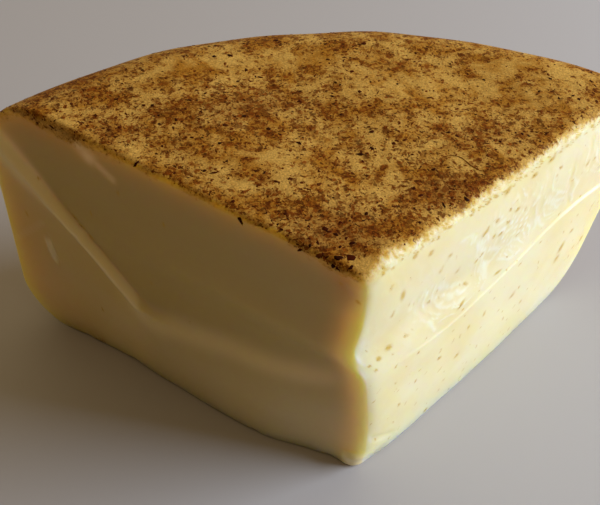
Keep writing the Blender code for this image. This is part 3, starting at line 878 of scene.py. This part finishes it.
# Pressed cow's milk paste; sizes in mm
paste = {
    "cream": "#f5e9c0",
    "yellow": "#f1e1ab",
    "clouds": 14,  # size of the soft clouds in which it is yellower
    "golden": "#ffe08c",  # painted light on the left cut: the lit crest and soft band of its ledge, the lit paste below it and the lit foot lip, a painted glow where light comes through the tip, and its pale smears
    "white": "#fffbe8",  # smeared by the knife, plus painted highlight on the raised strokes, the seam's lip, the lit foot lip and the ledge's crest; and the yellower hollows beside that, partly painted shade
    "sunk": "#dab860",
    "paintedShade": "#ccb168",  # painted shade: the shaded left cut painted darker and browner than the right one
    "stain": "#d6ac52",  # coloured by the coat, in patches
    "patches": 2.5,
    "torn": "#fcf6e2",  # crumbs along the rim, whitened further as a painted highlight where the rounded rim catches the light
    "crumbs": 1.1,
    "fleck": "#d2aa30",
    "fleckCore": "#6a3a0e",
    "fleckSpacing": 2.0,
    "fleckSlant": (0.55, 0.4, 0.73),  # the way in which the knife drew them out, and its share
    "fleckDrawn": -0.45,
    "light": (1.0, 0.76, 0.13),  # how far red, green and blue light goes in it, as shares of the depth
    "depth": 12.0,
}
# Toasted hops pressed into the rind; sizes in mm
hops = {
    "rim": "#c49a44",  # where the coat thins out to its edge, lighter also as painted light that offsets the shade on the rounded edge and stands for light coming through the thin coat
    "pale": "#cba050",
    "gold": "#a87222",
    "amber": "#82490f",
    # how the edge of the coat strays: size of the tatters and how far they reach, in two sizes
    "ragged": (0.9, 1.1),
    "wander": (5.5, 1.1),
    "clouds": 6,
    "mottle": 1.5,
    "dust": 0.35,
    # inlaid leaf bits: size, stretch, share of the skin covered, how well they hide it, colours
    "layers": (
        (0.95, (1.2, 0.75, 1.0), 0.12, 0.75, ("#7c3d0a", "#3a1000")),
        (0.55, (0.75, 1.2, 1.0), 0.18, 0.9, ("#84420a", "#300c00")),
        (0.32, (1.0, 0.8, 1.0), 0.22, 0.9, ("#8c4a10", "#381000")),
    ),
}
# Grain of the surface: size in mm and relative height of each kind, and mm of bump for a height of 1
skin = {
    "coatGrain": (0.7, 0.5),
    "pasteGrain": (1.6, 0.25),
    "tornGrain": (0.6, 2.0),
    "bump": 0.12,
    "ior": 1.45,
}


def warped(add, where, lump, reach):
    # The same place, shifted about by noise with lumps of this size, in mm
    away = add("less", add("threeNoises", where, perMm(lump)), (0.5, 0.5, 0.5))
    return add("shift", where, add("scale", away, reach * mm))


def sunkenFlecks(add, where, crowd, colour):
    # Fine hop bits under the surface: soft gold spots, one in some of the cells of a mosaic, drawn out aslant
    slant = paste["fleckSlant"]
    along = add("times", add("dot", where, slant), paste["fleckDrawn"])
    cells = add("mosaic", add("shift", where, add("scale", slant, along)), perMm(paste["fleckSpacing"]))
    chance, size, _ = add("parts", cells["Color"])
    near = add("ease", cells["Distance"], 0, add("fit", size, 0, 1, 0.12, 0.3), 1, 0)
    there = add("ease", add("minus", crowd, chance), 0, 0.05)
    return add("mix", add("times", near, add("times", there, 0.8)), colour, paste["fleck"])


def leafLayers(add, where, crowd, leafy, colour):
    # Leaf bits inlaid in the skin: the cells of a mosaic, each there or not, lighter or darker
    for size, stretched, cover, hiding, colours in hops["layers"]:
        cells = add("mosaic", add("stretch", where, stretched), perMm(size))
        chance, tone, veil = add("parts", cells["Color"])
        limit = add("times", add("plus", crowd, cover), leafy)
        there = add("ease", add("minus", limit, chance), 0, 0.08)
        there = add("times", there, add("fit", veil, 0, 1, 0.6 * hiding, 1.15 * hiding))
        colour = add("mix", there, colour, add("mix", tone, *colours))
    return colour


def fineGrain(add, where, ground, torn):
    # Fine bumps: leafy ones in the coat, a faint waxy unevenness in the paste, torn crumbs at the rim
    heights = []
    kinds = (("coatGrain", 0.6, ground), ("pasteGrain", 0.6, None), ("tornGrain", 0.7, torn))
    for kind, rough, share in kinds:
        size, height = skin[kind]
        lumps = add("noise", where, perMm(size), 4, rough)
        lumps = lumps if share is None else add("times", lumps, share)
        heights.append(add("times", lumps, height))
    grain = add("plus", add("plus", heights[0], heights[1]), heights[2])
    return add("bump", grain, 1.0, skin["bump"] * mm)


def cheeseMaterial(name, gloss, translucent=1.0):
    # Pressed cow's milk paste, waxy and slightly translucent where the knife cut it, under a thin skin of
    # toasted hops pressed into the rind: a translucent gold ground with brown leaf bits inlaid in it
    material, add, shader = newMaterial(name)
    names = ("edge", "paintedShade", "golden", "smearAndPaintedLight", "stain", "torn", "flecked", "fleck", "cloud")
    at = {name: add("field", attribute_name=name) for name in names}
    where = add("place")
    bent = warped(add, where, 1.1, 1.5)

    # How far inside the coat's ragged edge, in mm, and from that its ground and its leaf bits
    (fine, fineReach), (broad, broadReach) = hops["ragged"], hops["wander"]
    ragged = add("fit", add("noise", where, perMm(fine), 4, 0.7), 0.28, 0.72, -fineReach, fineReach)
    wander = add("fit", add("noise", where, perMm(broad), 4), 0.3, 0.7, -broadReach, broadReach)
    fromCoat = add("plus", add("plus", at["edge"], ragged), wander)
    ground = add("ease", fromCoat, -1.6, 0.6)
    leafy = add("ease", fromCoat, -1.1, 1.1)

    # Paste: cream, yellower in soft clouds, browner on the left cut as painted shade, paler and yellower
    # where it was smeared, and painted light: gold and pale on the left cut's lit crest, band and lip, a
    # painted glow at the tip, and painted highlights on the seam and the torn rim
    clouds = add("noise", where, perMm(paste["clouds"]), 3)
    colour = add("mix", add("ease", clouds, 0.35, 0.7), paste["cream"], paste["yellow"])
    patches = add("ease", add("noise", where, perMm(paste["patches"]), 3), 0.3, 0.7, 0.4, 0.85)
    crumbs = add("ease", add("noise", where, perMm(paste["crumbs"]), 5, 0.8), 0.44, 0.64, 0, 0.7)
    shares = {
        "paintedShade": at["paintedShade"],
        "golden": at["golden"],
        "white": add("fit", at["smearAndPaintedLight"], 0.05, 0.9, 0, 0.85),
        "sunk": add("fit", at["smearAndPaintedLight"], -0.05, -0.9, 0, 0.85),
        "stain": add("times", at["stain"], patches),
        "torn": add("times", at["torn"], crumbs),
    }
    for finish, amount in shares.items():
        colour = add("mix", amount, colour, paste[finish])
    colour = sunkenFlecks(add, bent, at["flecked"], colour)
    # Larger bits: a gold halo round a brown core
    colour = add("mix", add("ease", at["fleck"], 0, 0.5, 0, 0.85), colour, paste["fleck"])
    colour = add("mix", add("ease", at["fleck"], 0.52, 0.95, 0, 0.95), colour, paste["fleckCore"])

    # Coat: gold ground, amber under the skin, then leaf bits in three sizes, more of them in the clouds
    thin = add("noise", where, perMm(hops["clouds"]), 4, 0.6, 0.3)
    mottle = add("noise", where, perMm(hops["mottle"]), 4, 0.65)
    gold = add("mix", add("ease", thin, 0.35, 0.65), hops["pale"], hops["gold"])
    gold = add("mix", add("ease", at["cloud"], 0, 1.4, 0, 0.5), gold, hops["amber"])
    # lighter gold at the coat's thinning edge, partly painted light that offsets the shade on the rounded
    # edge
    gold = add("mix", add("ease", fromCoat, 1.4, -0.4, 0, 0.7), gold, hops["rim"])
    colour = add("mix", ground, colour, gold)
    crowd = add("plus", *(add("fit", lumps, 0.3, 0.7, -0.16, 0.16) for lumps in (thin, mottle)))
    crowd = add("plus", crowd, add("times", at["cloud"], add("ease", at["cloud"], 0, 1.2, 0.25, 0.13)))
    amber = add("plus", mottle, add("times", crowd, 0.3))
    amber = add("times", add("ease", amber, 0.5, 0.68, 0, 0.55), leafy)
    colour = leafLayers(add, bent, crowd, leafy, add("mix", amber, colour, hops["amber"]))
    dust = add("fit", add("noise", where, perMm(hops["dust"]), 3, 0.7), 0.3, 0.7, 0.55, 1.35)
    colour = add("mix", leafy, colour, add("shade", 1.0, colour, dust))

    rough = add("plus", add("fit", ground, 0, 1, 0.38, 0.55), add("ease", thin, 0.2, 0.8, -0.05, 0.07))
    look = {
        "Base Color": colour,
        "Roughness": add("minus", rough, add("times", at["torn"], 0.1)),
        "Normal": fineGrain(add, where, ground, at["torn"]),
        "IOR": skin["ior"],
        "Specular IOR Level": gloss,
        "Subsurface Radius": paste["light"],
        "Subsurface Scale": paste["depth"] * mm,
    }
    if translucent:
        under = add("ease", leafy, 0, 1, translucent, 0.03)
        firm = add("field", attribute_name="firm")
        look["Subsurface Weight"] = add("times", under, add("fit", firm, 0, 1, 1, 0.15))
    setInputs(shader, look)
    return material


cheese.data.materials.append(cheeseMaterial("cutPaste", 0.35))
cheese.data.materials.append(cheeseMaterial("hopCoatedRind", 0.05))
faceMiddle = bodyPoints[gridFaces(rows, columns)].mean(1)
onCoat = np.zeros(len(cheese.data.polygons), int)
onCoat[: len(faceMiddle)] = fromCutEdge(faceMiddle) > bareRim(faceMiddle)[0] - 1
onCoat[len(faceMiddle) :] = 1
cheese.data.polygons.foreach_set("material_index", onCoat)
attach(cheese, "root")
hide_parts("hop_cheese")
print("cheese body finished")

# Single leaf bits that stand a little proud of the skin: how many, mm long from and to, and mm proud
flakes = {
    "dark": {
        "count": 1300, "lengths": (0.4, 1.7), "height": 0.05, "seed": 11, "colours": ("#260900", "#481602"),
    },
    "brown": {
        "count": 2600, "lengths": (0.4, 1.5), "height": 0.04, "seed": 12, "colours": ("#4a1e04", "#7a4010"),
    },
}
flakeCrowding = 0.9  # how strongly they gather in the dark clouds
flakeEdge = (-1.0, 2.6)  # where they begin, in mm inside the coat's edge, and over how many they come up
# large ones that show: x, y on the top, length, width, turn in degrees
largeFlakes = (
    (-27.9, 12.9, 3.0, 1.1, -50), (-43.2, 28.3, 1.8, 1.0, 20), (-18.8, 6.4, 1.8, 0.8, 40),
    (-10.5, 5.9, 1.6, 1.4, 10), (-11.1, 2.8, 2.8, 2.0, 0), (-4.8, 26.4, 2.0, 1.1, 15),
    (11.9, 40.7, 2.0, 0.9, -10), (-58.4, 38.9, 1.8, 0.8, -20), (3.3, 58.9, 2.4, 1.2, 5),
    (-30.5, 24.0, 2.4, 0.7, 12), (-14.2, 2.0, 1.3, 1.2, 30), (-14.7, 0.7, 0.9, 0.9, 0),
    (-11.6, 1.2, 1.2, 0.9, 10), (-13.0, 3.1, 2.2, 1.3, 5), (-15.1, -0.6, 0.6, 0.6, 0),
    (-17.2, 6.2, 1.2, 0.7, 60),
)
bitSides = 7  # points round a leaf bit, and in all
bitPoints = 2 * bitSides + 2


def surfaceFrame():
    # Corners, normals and areas of the body's quads, from which the flakes' places are drawn
    quads = gridFaces(rows, columns)
    corner = bodyPoints[quads]
    normal = np.cross(corner[:, 2] - corner[:, 0], corner[:, 3] - corner[:, 1])
    area = np.linalg.norm(normal, axis=1) / 2
    normal = normal / np.maximum(2 * area, 1e-9)[:, None]
    return corner, normal, area


quadCorner, quadNormal, quadArea = surfaceFrame()
quadMiddle = quadCorner.mean(1)
quadEdge = fromCutEdge(quadMiddle) - bareRim(quadMiddle)[0]
quadCloud = cloudField(quadMiddle[:, 0], quadMiddle[:, 1]) * (quadMiddle[:, 2] > hues["coatAbove"])
quadSide, quadAlong = sideOf(rows - 1)


def drawPlaces(count, draw):
    # Places on the coat, more of them in the dark clouds and ever fewer past its edge
    weight = quadArea * rising(quadEdge, flakeEdge) * np.exp(flakeCrowding * np.clip(quadCloud, -1, 1))
    weight = weight * (quadMiddle[:, 2] > 0.5)
    index = draw.choice(len(weight), count, p=weight / weight.sum())
    u, v = draw.uniform(0, 1, (2, count, 1))
    corner = quadCorner[index]
    near, far = corner[:, 0] * (1 - u) + corner[:, 1] * u, corner[:, 3] * (1 - u) + corner[:, 2] * u
    return near * (1 - v) + far * v, quadNormal[index]


def nearestPlaces(index, known, wanted):
    # Middles and normals of the quads (by index) whose known pair of numbers is nearest to each wanted one
    nearest = index[((known[None] - np.array(wanted)[:, None]) ** 2).sum(-1).argmin(1)]
    return quadMiddle[nearest], quadNormal[nearest]


def leafBits(name, places, normals, lengths, widths, turns, height, draw, sunk=0.05):
    # Leaf fragments: an uneven rim of points dipping into the skin, an inner ring that stands proud of it,
    # and a point each on top and below. A turn of 0 lies level, counted as seen from outside
    count = len(places)
    helper = np.where(np.abs(normals[:, 2:]) > 0.7, [[0.0, 1.0, 0.0]], [[0.0, 0.0, 1.0]])
    first = unit(np.cross(helper, normals))
    second = np.cross(normals, first)
    along = first * np.cos(turns)[:, None] + second * np.sin(turns)[:, None]
    across = np.cross(normals, along)
    angles = np.arange(bitSides) * 2 * np.pi / bitSides + draw.uniform(-0.4, 0.4, (count, bitSides))
    radii = draw.uniform(0.5, 1.1, (count, bitSides)) / 2
    flat = (
        along[:, None] * (np.cos(angles) * radii * lengths[:, None])[..., None]
        + across[:, None] * (np.sin(angles) * radii * widths[:, None])[..., None]
    )
    rim = places[:, None] + flat - normals[:, None] * sunk
    proudness = draw.uniform(0.6, 1, (count, bitSides)) * height
    inner = places[:, None] + flat * 0.6 + normals[:, None] * proudness[..., None]
    above = places + normals * height
    below = places - normals * (sunk + 0.15)
    points = np.concatenate([rim, inner, above[:, None], below[:, None]], 1)
    i = np.arange(bitSides)
    after = (i + 1) % bitSides
    skirt = np.stack([i, after, after + bitSides, i + bitSides], -1)
    upper = np.stack([i + bitSides, after + bitSides, np.full(bitSides, bitPoints - 2)], -1)
    lower = np.stack([after, i, np.full(bitSides, bitPoints - 1)], -1)
    step = (np.arange(count) * bitPoints)[:, None, None]
    quads = (skirt[None] + step).reshape(-1, 4)
    triangles = (np.concatenate([upper, lower])[None] + step).reshape(-1, 3)
    return makeMesh(name, points.reshape(-1, 3), quads, triangles)


def flakeMaterial(name, colours):
    # Toasted hop leaf, brittle and matt, its colour differing from flake to flake
    material, add, shader = newMaterial(name)
    tone = add("field", attribute_name="tone")
    veins = add("ease", add("noise", add("place"), perMm(0.4), 3, 0.6), 0.3, 0.7, 0.7, 1.2)
    colour = add("shade", 1.0, add("mix", tone, *colours), veins)
    rough = add("fit", tone, 0, 1, 0.5, 0.65)
    look = {"Base Color": colour, "Roughness": rough, "IOR": skin["ior"], "Specular IOR Level": 0.05}
    setInputs(shader, look)
    return material


def addFlakes(kind, values):
    # Many drawn at random, mostly small, and for the dark kind the large ones that show
    draw = np.random.default_rng(values["seed"])
    places, normals = drawPlaces(values["count"], draw)
    least, most = values["lengths"]
    lengths = least * (most / least) ** (draw.uniform(0, 1, len(places)) ** 1.7)
    widths = lengths * draw.uniform(0.45, 0.95, len(places))
    turns = draw.uniform(0, 2 * np.pi, len(places))
    if kind == "dark":
        given = np.array(largeFlakes)
        top = np.flatnonzero((quadSide < 2) & (quadMiddle[:, 2] > wedge["height"] - 2.1))
        seen = nearestPlaces(top, quadMiddle[top, :2], given[:, :2])
        drawn = (places, normals, lengths, widths, turns)
        shown = (*seen, given[:, 2], given[:, 3], np.radians(given[:, 4]))
        places, normals, lengths, widths, turns = (np.concatenate(pair) for pair in zip(drawn, shown))
    piece = leafBits(f"{kind}HopFlakes", places, normals, lengths, widths, turns, values["height"], draw)
    addField(piece, "tone", np.repeat(draw.uniform(0, 1, len(places)), bitPoints))
    piece.data.materials.append(flakeMaterial(f"{kind}ToastedHop", values["colours"]))
    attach(piece, "root")


for kind, values in flakes.items():
    addFlakes(kind, values)
print("flakes laid")

# A bent stem of hop lying in the coat: x, y along it on the top
stem = {
    "path": ((7.9, 23.0), (10.7, 24.3), (12.9, 23.6), (14.2, 21.4), (15.8, 19.9), (18.1, 20.0)),
    "radius": 0.05,
    "rings": 41,
    "sides": 6,
    "tone": 0.8,
}


def addStem():
    # A thin tube along a smooth curve on the top, tapering to both ends as the root of a half wave
    count, sides = stem["rings"], stem["sides"]
    steps = np.linspace(0, 1, count)
    given = np.array(stem["path"])
    x, y = (through(steps, np.stack([np.linspace(0, 1, len(given)), given[:, i]], -1)) for i in (0, 1))
    z = topHeight(x, y) + topRelief(x, y) + stem["radius"]
    middle = np.stack([x, y, z], -1)
    way = unit(np.gradient(middle, axis=0))
    side = np.cross(way, [0.0, 0.0, 1.0])
    above = np.cross(side, way)
    radius = stem["radius"] * np.sqrt(np.clip(np.sin(np.pi * steps), 0.02, 1))
    angle = np.arange(sides) * 2 * np.pi / sides
    around = side[:, None] * np.cos(angle)[None, :, None] + above[:, None] * np.sin(angle)[None, :, None]
    points = (middle[:, None] + around * radius[:, None, None]).reshape(-1, 3)
    ends = np.array([middle[0] - way[0] * stem["radius"], middle[-1] + way[-1] * stem["radius"]])
    i = np.arange(sides)
    after, last = (i + 1) % sides, (count - 1) * sides
    caps = np.concatenate([fan(len(points), after, i), fan(len(points) + 1, i + last, after + last)])
    quads = gridFaces(count, sides)[:, ::-1]
    piece = makeMesh("hopStem", np.concatenate([points, ends]), quads, caps)
    addField(piece, "tone", np.full(len(points) + 2, stem["tone"]))
    piece.data.materials.append(bpy.data.materials["brownToastedHop"])
    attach(piece, "root")


addStem()

# Hop bits that the knife dragged over the cuts, half under the smeared paste:
# mm along the cut, height, length, width, turn in degrees, tone from 0 light to 1 dark
draggedBits = {
    "right": (
        (8.9, 52.8, 3.2, 1.1, 98, 0.5), (7.6, 38.5, 1.6, 1.3, 20, 0.7), (4.8, 37.5, 1.3, 1.0, 67, 0.7),
        (11.6, 38.5, 0.8, 0.6, 59, 1.0), (20.6, 21.8, 1.2, 0.9, 0, 0.9), (27.2, 16.3, 2.0, 1.1, 27, 0.7),
        (10.1, 62.2, 1.6, 1.0, 74, 0.6), (13.9, 59.9, 1.4, 1.1, 73, 0.6), (5.4, 58.0, 1.0, 0.9, 23, 0.6),
        (19.6, 54.5, 1.7, 0.9, 48, 0.3), (18.3, 52.0, 1.5, 0.9, 63, 0.3), (24.0, 47.3, 1.5, 1.0, 63, 0.3),
        (28.0, 39.9, 1.8, 0.7, -47, 0.6), (26.1, 34.9, 2.8, 0.9, 40, 0.8), (30.8, 46.4, 0.8, 0.7, 45, 1.0),
        (37.2, 35.8, 2.4, 0.8, 0, 0.6), (34.7, 24.4, 1.5, 0.9, 75, 0.5), (45.3, 21.9, 2.4, 1.3, 35, 0.5),
        (50.5, 14.8, 1.3, 1.0, 38, 0.4), (7.5, 48.8, 1.3, 0.8, 66, 0.5), (28.8, 54.0, 2.6, 1.2, 45, 0.8),
        (34.8, 49.3, 1.4, 1.0, 45, 0.8), (32.2, 62.4, 2.2, 1.2, 59, 0.8), (31.8, 55.0, 1.5, 0.9, -18, 0.8),
        (35.9, 51.8, 1.3, 0.8, -14, 0.8), (37.7, 53.9, 1.4, 0.8, 0, 0.7), (39.8, 61.2, 1.7, 1.2, 0, 0.9),
        (44.0, 62.6, 1.8, 1.3, 22, 0.9), (48.8, 57.9, 0.9, 0.9, 22, 0.9), (59.9, 52.1, 1.5, 1.0, 49, 0.5),
        (64.7, 29.1, 1.8, 0.9, 10, 0.7), (62.3, 21.0, 2.3, 2.0, 60, 0.55), (62.4, 25.0, 3.4, 1.9, 75, 0.65),
        (73.5, 19.8, 2.3, 1.2, 59, 0.6), (29.6, 24.2, 1.5, 0.8, 80, 0.5), (19.6, 1.9, 1.5, 1.1, 31, 0.9),
    ),
    "left": (
        (5.2, 60.0, 1.0, 0.6, 20, 0.7), (1.6, 57.8, 1.1, 0.7, 10, 0.7),
        (80.2, 36.2, 0.7, 0.6, 0, 0.7), (75.1, 47.7, 0.7, 0.5, 20, 0.6), (54.0, 54.7, 0.7, 0.6, 60, 0.7),
        (43.3, 52.3, 0.6, 0.5, 30, 0.6), (47.5, 0.8, 1.6, 0.8, 0, 0.9), (49.4, 0.9, 1.0, 0.7, 10, 1.0),
        (66.4, 41.4, 1.8, 0.8, -40, 0.9), (65.0, 39.6, 1.6, 0.8, -45, 1.0), (63.4, 37.8, 1.8, 0.8, -40, 0.8),
    ),
    "scattered": {"right": 100, "left": 6},  # finer ones drawn at random
    "finest": {"cut": 0.3, "rim": 0.35},  # mm of the shortest of those; the longest are three times as long
    "coreFrom": 0.58,  # tone from which a bit shows a brown core, and mm that this stands proud
    "height": 0.03,
    "seed": 14,
}


def drawBits(draw, s, h, long, widths, turns, tones):
    # Rows like those above for bits at these mm along and heights: the rest is drawn between two values each
    wide, turn, tone = (draw.uniform(*ends, len(s)) for ends in (widths, turns, tones))
    return np.stack([s, h, long, long * wide, turn, tone], -1)


def haloShare(bit, x, y, side):
    # An ellipse turned like the bit, a little larger: 1 in the middle, falling off steeply at its rim.
    # Seen from outside, mm along the cut grow to the right on the right cut, and to the left on the left one
    _, _, long, wide, turn, _ = bit
    turn = np.radians(turn if side == 2 else 180 - turn)
    u, v = x * np.cos(turn) + y * np.sin(turn), y * np.cos(turn) - x * np.sin(turn)
    return np.exp(-(((u / (0.5 * long + 0.08)) ** 2 + (v / (0.5 * wide + 0.08)) ** 2) ** 1.2))


def addDraggedBits(name, side, length):
    # Small brown cores, whose gold haloes are painted on the body
    draw = np.random.default_rng(draggedBits["seed"])
    count = draggedBits["scattered"][name]
    long = draggedBits["finest"]["cut"] * 3 ** draw.uniform(0, 1, count)
    s, h = draw.uniform(2, length - 2, count), draw.uniform(1, 61, count)
    bits = [draggedBits[name], drawBits(draw, s, h, long, (0.5, 0.8), (20, 85), (0.1, 1))]
    if name == "right":
        count, least, most = rightMarks["bitsOnRim"]
        s = draw.uniform(3, length - 1, count)
        long = draggedBits["finest"]["rim"] * 3 ** draw.uniform(0, 1, count)
        h = topHeight(*(topOfTip + s[:, None] * rightWay).T) - draw.uniform(least, most, count)
        bits.append(drawBits(draw, s, h, long, (0.5, 0.9), (30, 110), (0.3, 1)))
    bits = np.concatenate(bits)
    index = np.flatnonzero(quadSide == side)
    known = np.stack([quadAlong[index], quadMiddle[index, 2]], -1)
    places, normals = nearestPlaces(index, known, bits[:, :2])
    dark = bits[:, 5] > draggedBits["coreFrom"]
    cores = bits[dark]
    size = 0.2 + 0.35 * cores[:, 5]
    piece = leafBits(
        f"{name}CutHopBits", places[dark], normals[dark], cores[:, 2] * size, cores[:, 3] * size,
        np.radians(cores[:, 4]), draggedBits["height"], draw, sunk=0.02,
    )
    # brownest on top, and bare paste where the bit goes under
    shape = np.repeat([0.5, 0.8, 1.0, 0.0], [bitSides, bitSides, 1, 1])
    addField(piece, "fleck", (cores[:, 5:6] * shape).ravel())
    addField(piece, "edge", np.full(len(cores) * bitPoints, -20))
    piece.data.materials.append(sunkenBits)
    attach(piece, "root")
    onSide = np.flatnonzero(cheeseSide == side)
    halo = np.zeros(len(bodyPoints))
    for bit in bits:
        x, y = cheeseAlong[onSide] - bit[0], bodyPoints[onSide, 2] - bit[1]
        strength = 0.36 + 0.2 * bit[5]
        halo[onSide] = np.maximum(halo[onSide], strength * haloShare(bit, x, y, side))
    return halo


sunkenBits = cheeseMaterial("hopBitsInPaste", 0.35, translucent=0)
addField(cheese, "fleck", addDraggedBits("left", 0, leftLength) + addDraggedBits("right", 2, rightLength))
print("cuts dressed")


# A wide plain sheet that rises behind the object, in mm
ground = {
    "reach": 3000,
    "flatTo": 600,
    "rise": 60,
    "below": 0.02,  # so that the base doesn't lie in it
    "across": 41,
    "deep": 61,
    "colour": "#b1afb3",
    "rough": 0.75,
}


def addFloor():
    # Level at first, then its height grows with the square of the distance
    reach, flat = ground["reach"], ground["flatTo"]
    x = np.linspace(-reach, reach, ground["across"])
    y = np.linspace(-1, 1, ground["deep"]) * reach
    height = np.where(y > flat, ((y - flat) / (reach - flat)) ** 2 * ground["rise"], 0) - ground["below"]
    grid = np.stack(np.broadcast_arrays(x[None], y[:, None], height[:, None]), -1).reshape(-1, 3)
    number = np.arange(len(grid)).reshape(ground["deep"], ground["across"])
    quads = np.stack([number[:-1, :-1], number[:-1, 1:], number[1:, 1:], number[1:, :-1]], -1).reshape(-1, 4)
    floor = makeMesh("floor", grid, quads, bounded=False)
    material, _, shader = newMaterial("paleFloor")
    setInputs(shader, {"Base Color": ground["colour"], "Roughness": ground["rough"]})
    floor.data.materials.append(material)
    return floor


# A soft light from the right, and the room's faint light
light = {
    "azimuth": -6,  # degrees from +X towards +Y
    "elevation": 24,
    "distance": 0.9,
    "target": (0, 0, 0.03),
    "size": (0.55, 0.5),
    "power": 10.4,
    "colour": (0.96, 1.06, 1.17),
    # the room's light from each side, falling off with the square of the cosine
    "room": (
        ((1, 0, 0), (0.34, 0.29, 0.22)),
        ((-1, 0, 0), (0.03, 0.01, 0.0)),
        ((0, 1, 0), (0.90, 0.70, 0.38)),
        ((0, -1, 0), (0.02, 0.005, 0.0)),
        ((0, 0, 1), (0.38, 0.27, 0.13)),
    ),
}


def addLight():
    azimuth, elevation = np.radians([light["azimuth"], light["elevation"]])
    level = np.cos(elevation)
    way = np.array([np.cos(azimuth) * level, np.sin(azimuth) * level, np.sin(elevation)])
    data = bpy.data.lights.new("window", "AREA")
    data.shape = "RECTANGLE"
    data.size, data.size_y = light["size"]
    data.energy = light["power"]
    data.color = light["colour"]
    lamp = addThing("window", data)
    lamp.location = np.array(light["target"]) + way * light["distance"]
    lamp.rotation_euler = Vector(-way).to_track_quat("-Z", "Y").to_euler()


def addRoom():
    # The light from all round: for each side, its colour times the square of the cosine
    world = bpy.data.worlds.new("room")
    bpy.context.scene.world = world
    world.use_nodes = True
    add = partial(addNode, world.node_tree)
    way = add("direction")
    total = (0, 0, 0, 1)
    for axis, colour in light["room"]:
        share = add("power", add("larger", add("dot", way, axis), 0), 2)
        total = add("sum", 1.0, total, add("mix", share, (0, 0, 0, 1), (*colour, 1)))
    setInput(world.node_tree.nodes["Background"], "Color", total)


# Where the photograph was taken from, fitted to the wedge's outline: mm and radians
camera = {
    "place": (-37.34, -118.23, 162.85),
    "pitch": 0.8301,  # downwards
    "yaw": 0.2524,  # from +Y towards +X
    "roll": 0.1178,
    "lens": 51.05,
    "sensor": 36,
    "near": 10,
    "far": 10000,
}


def addCamera():
    data = bpy.data.cameras.new("camera")
    data.sensor_width, data.lens = camera["sensor"], camera["lens"]
    data.clip_start, data.clip_end = camera["near"] * mm, camera["far"] * mm
    seen = addThing("camera", data)
    pitch, yaw, roll = camera["pitch"], camera["yaw"], camera["roll"]
    forward = np.array([np.sin(yaw) * np.cos(pitch), np.cos(yaw) * np.cos(pitch), -np.sin(pitch)])
    right = np.array([np.cos(yaw), -np.sin(yaw), 0])
    up = np.cross(right, forward)
    matrix = np.eye(4)
    matrix[:3, 0] = right * np.cos(roll) + up * np.sin(roll)
    matrix[:3, 1] = up * np.cos(roll) - right * np.sin(roll)
    matrix[:3, 2] = -forward
    matrix[:3, 3] = np.array(camera["place"]) * mm
    seen.matrix_world = Matrix(matrix.tolist())
    bpy.context.scene.camera = seen


addFloor()
addLight()
addRoom()
addCamera()
print("stage set")
view = bpy.context.scene.view_settings
view.view_transform = "Standard"
view.look = "None"
view.exposure = 0.0
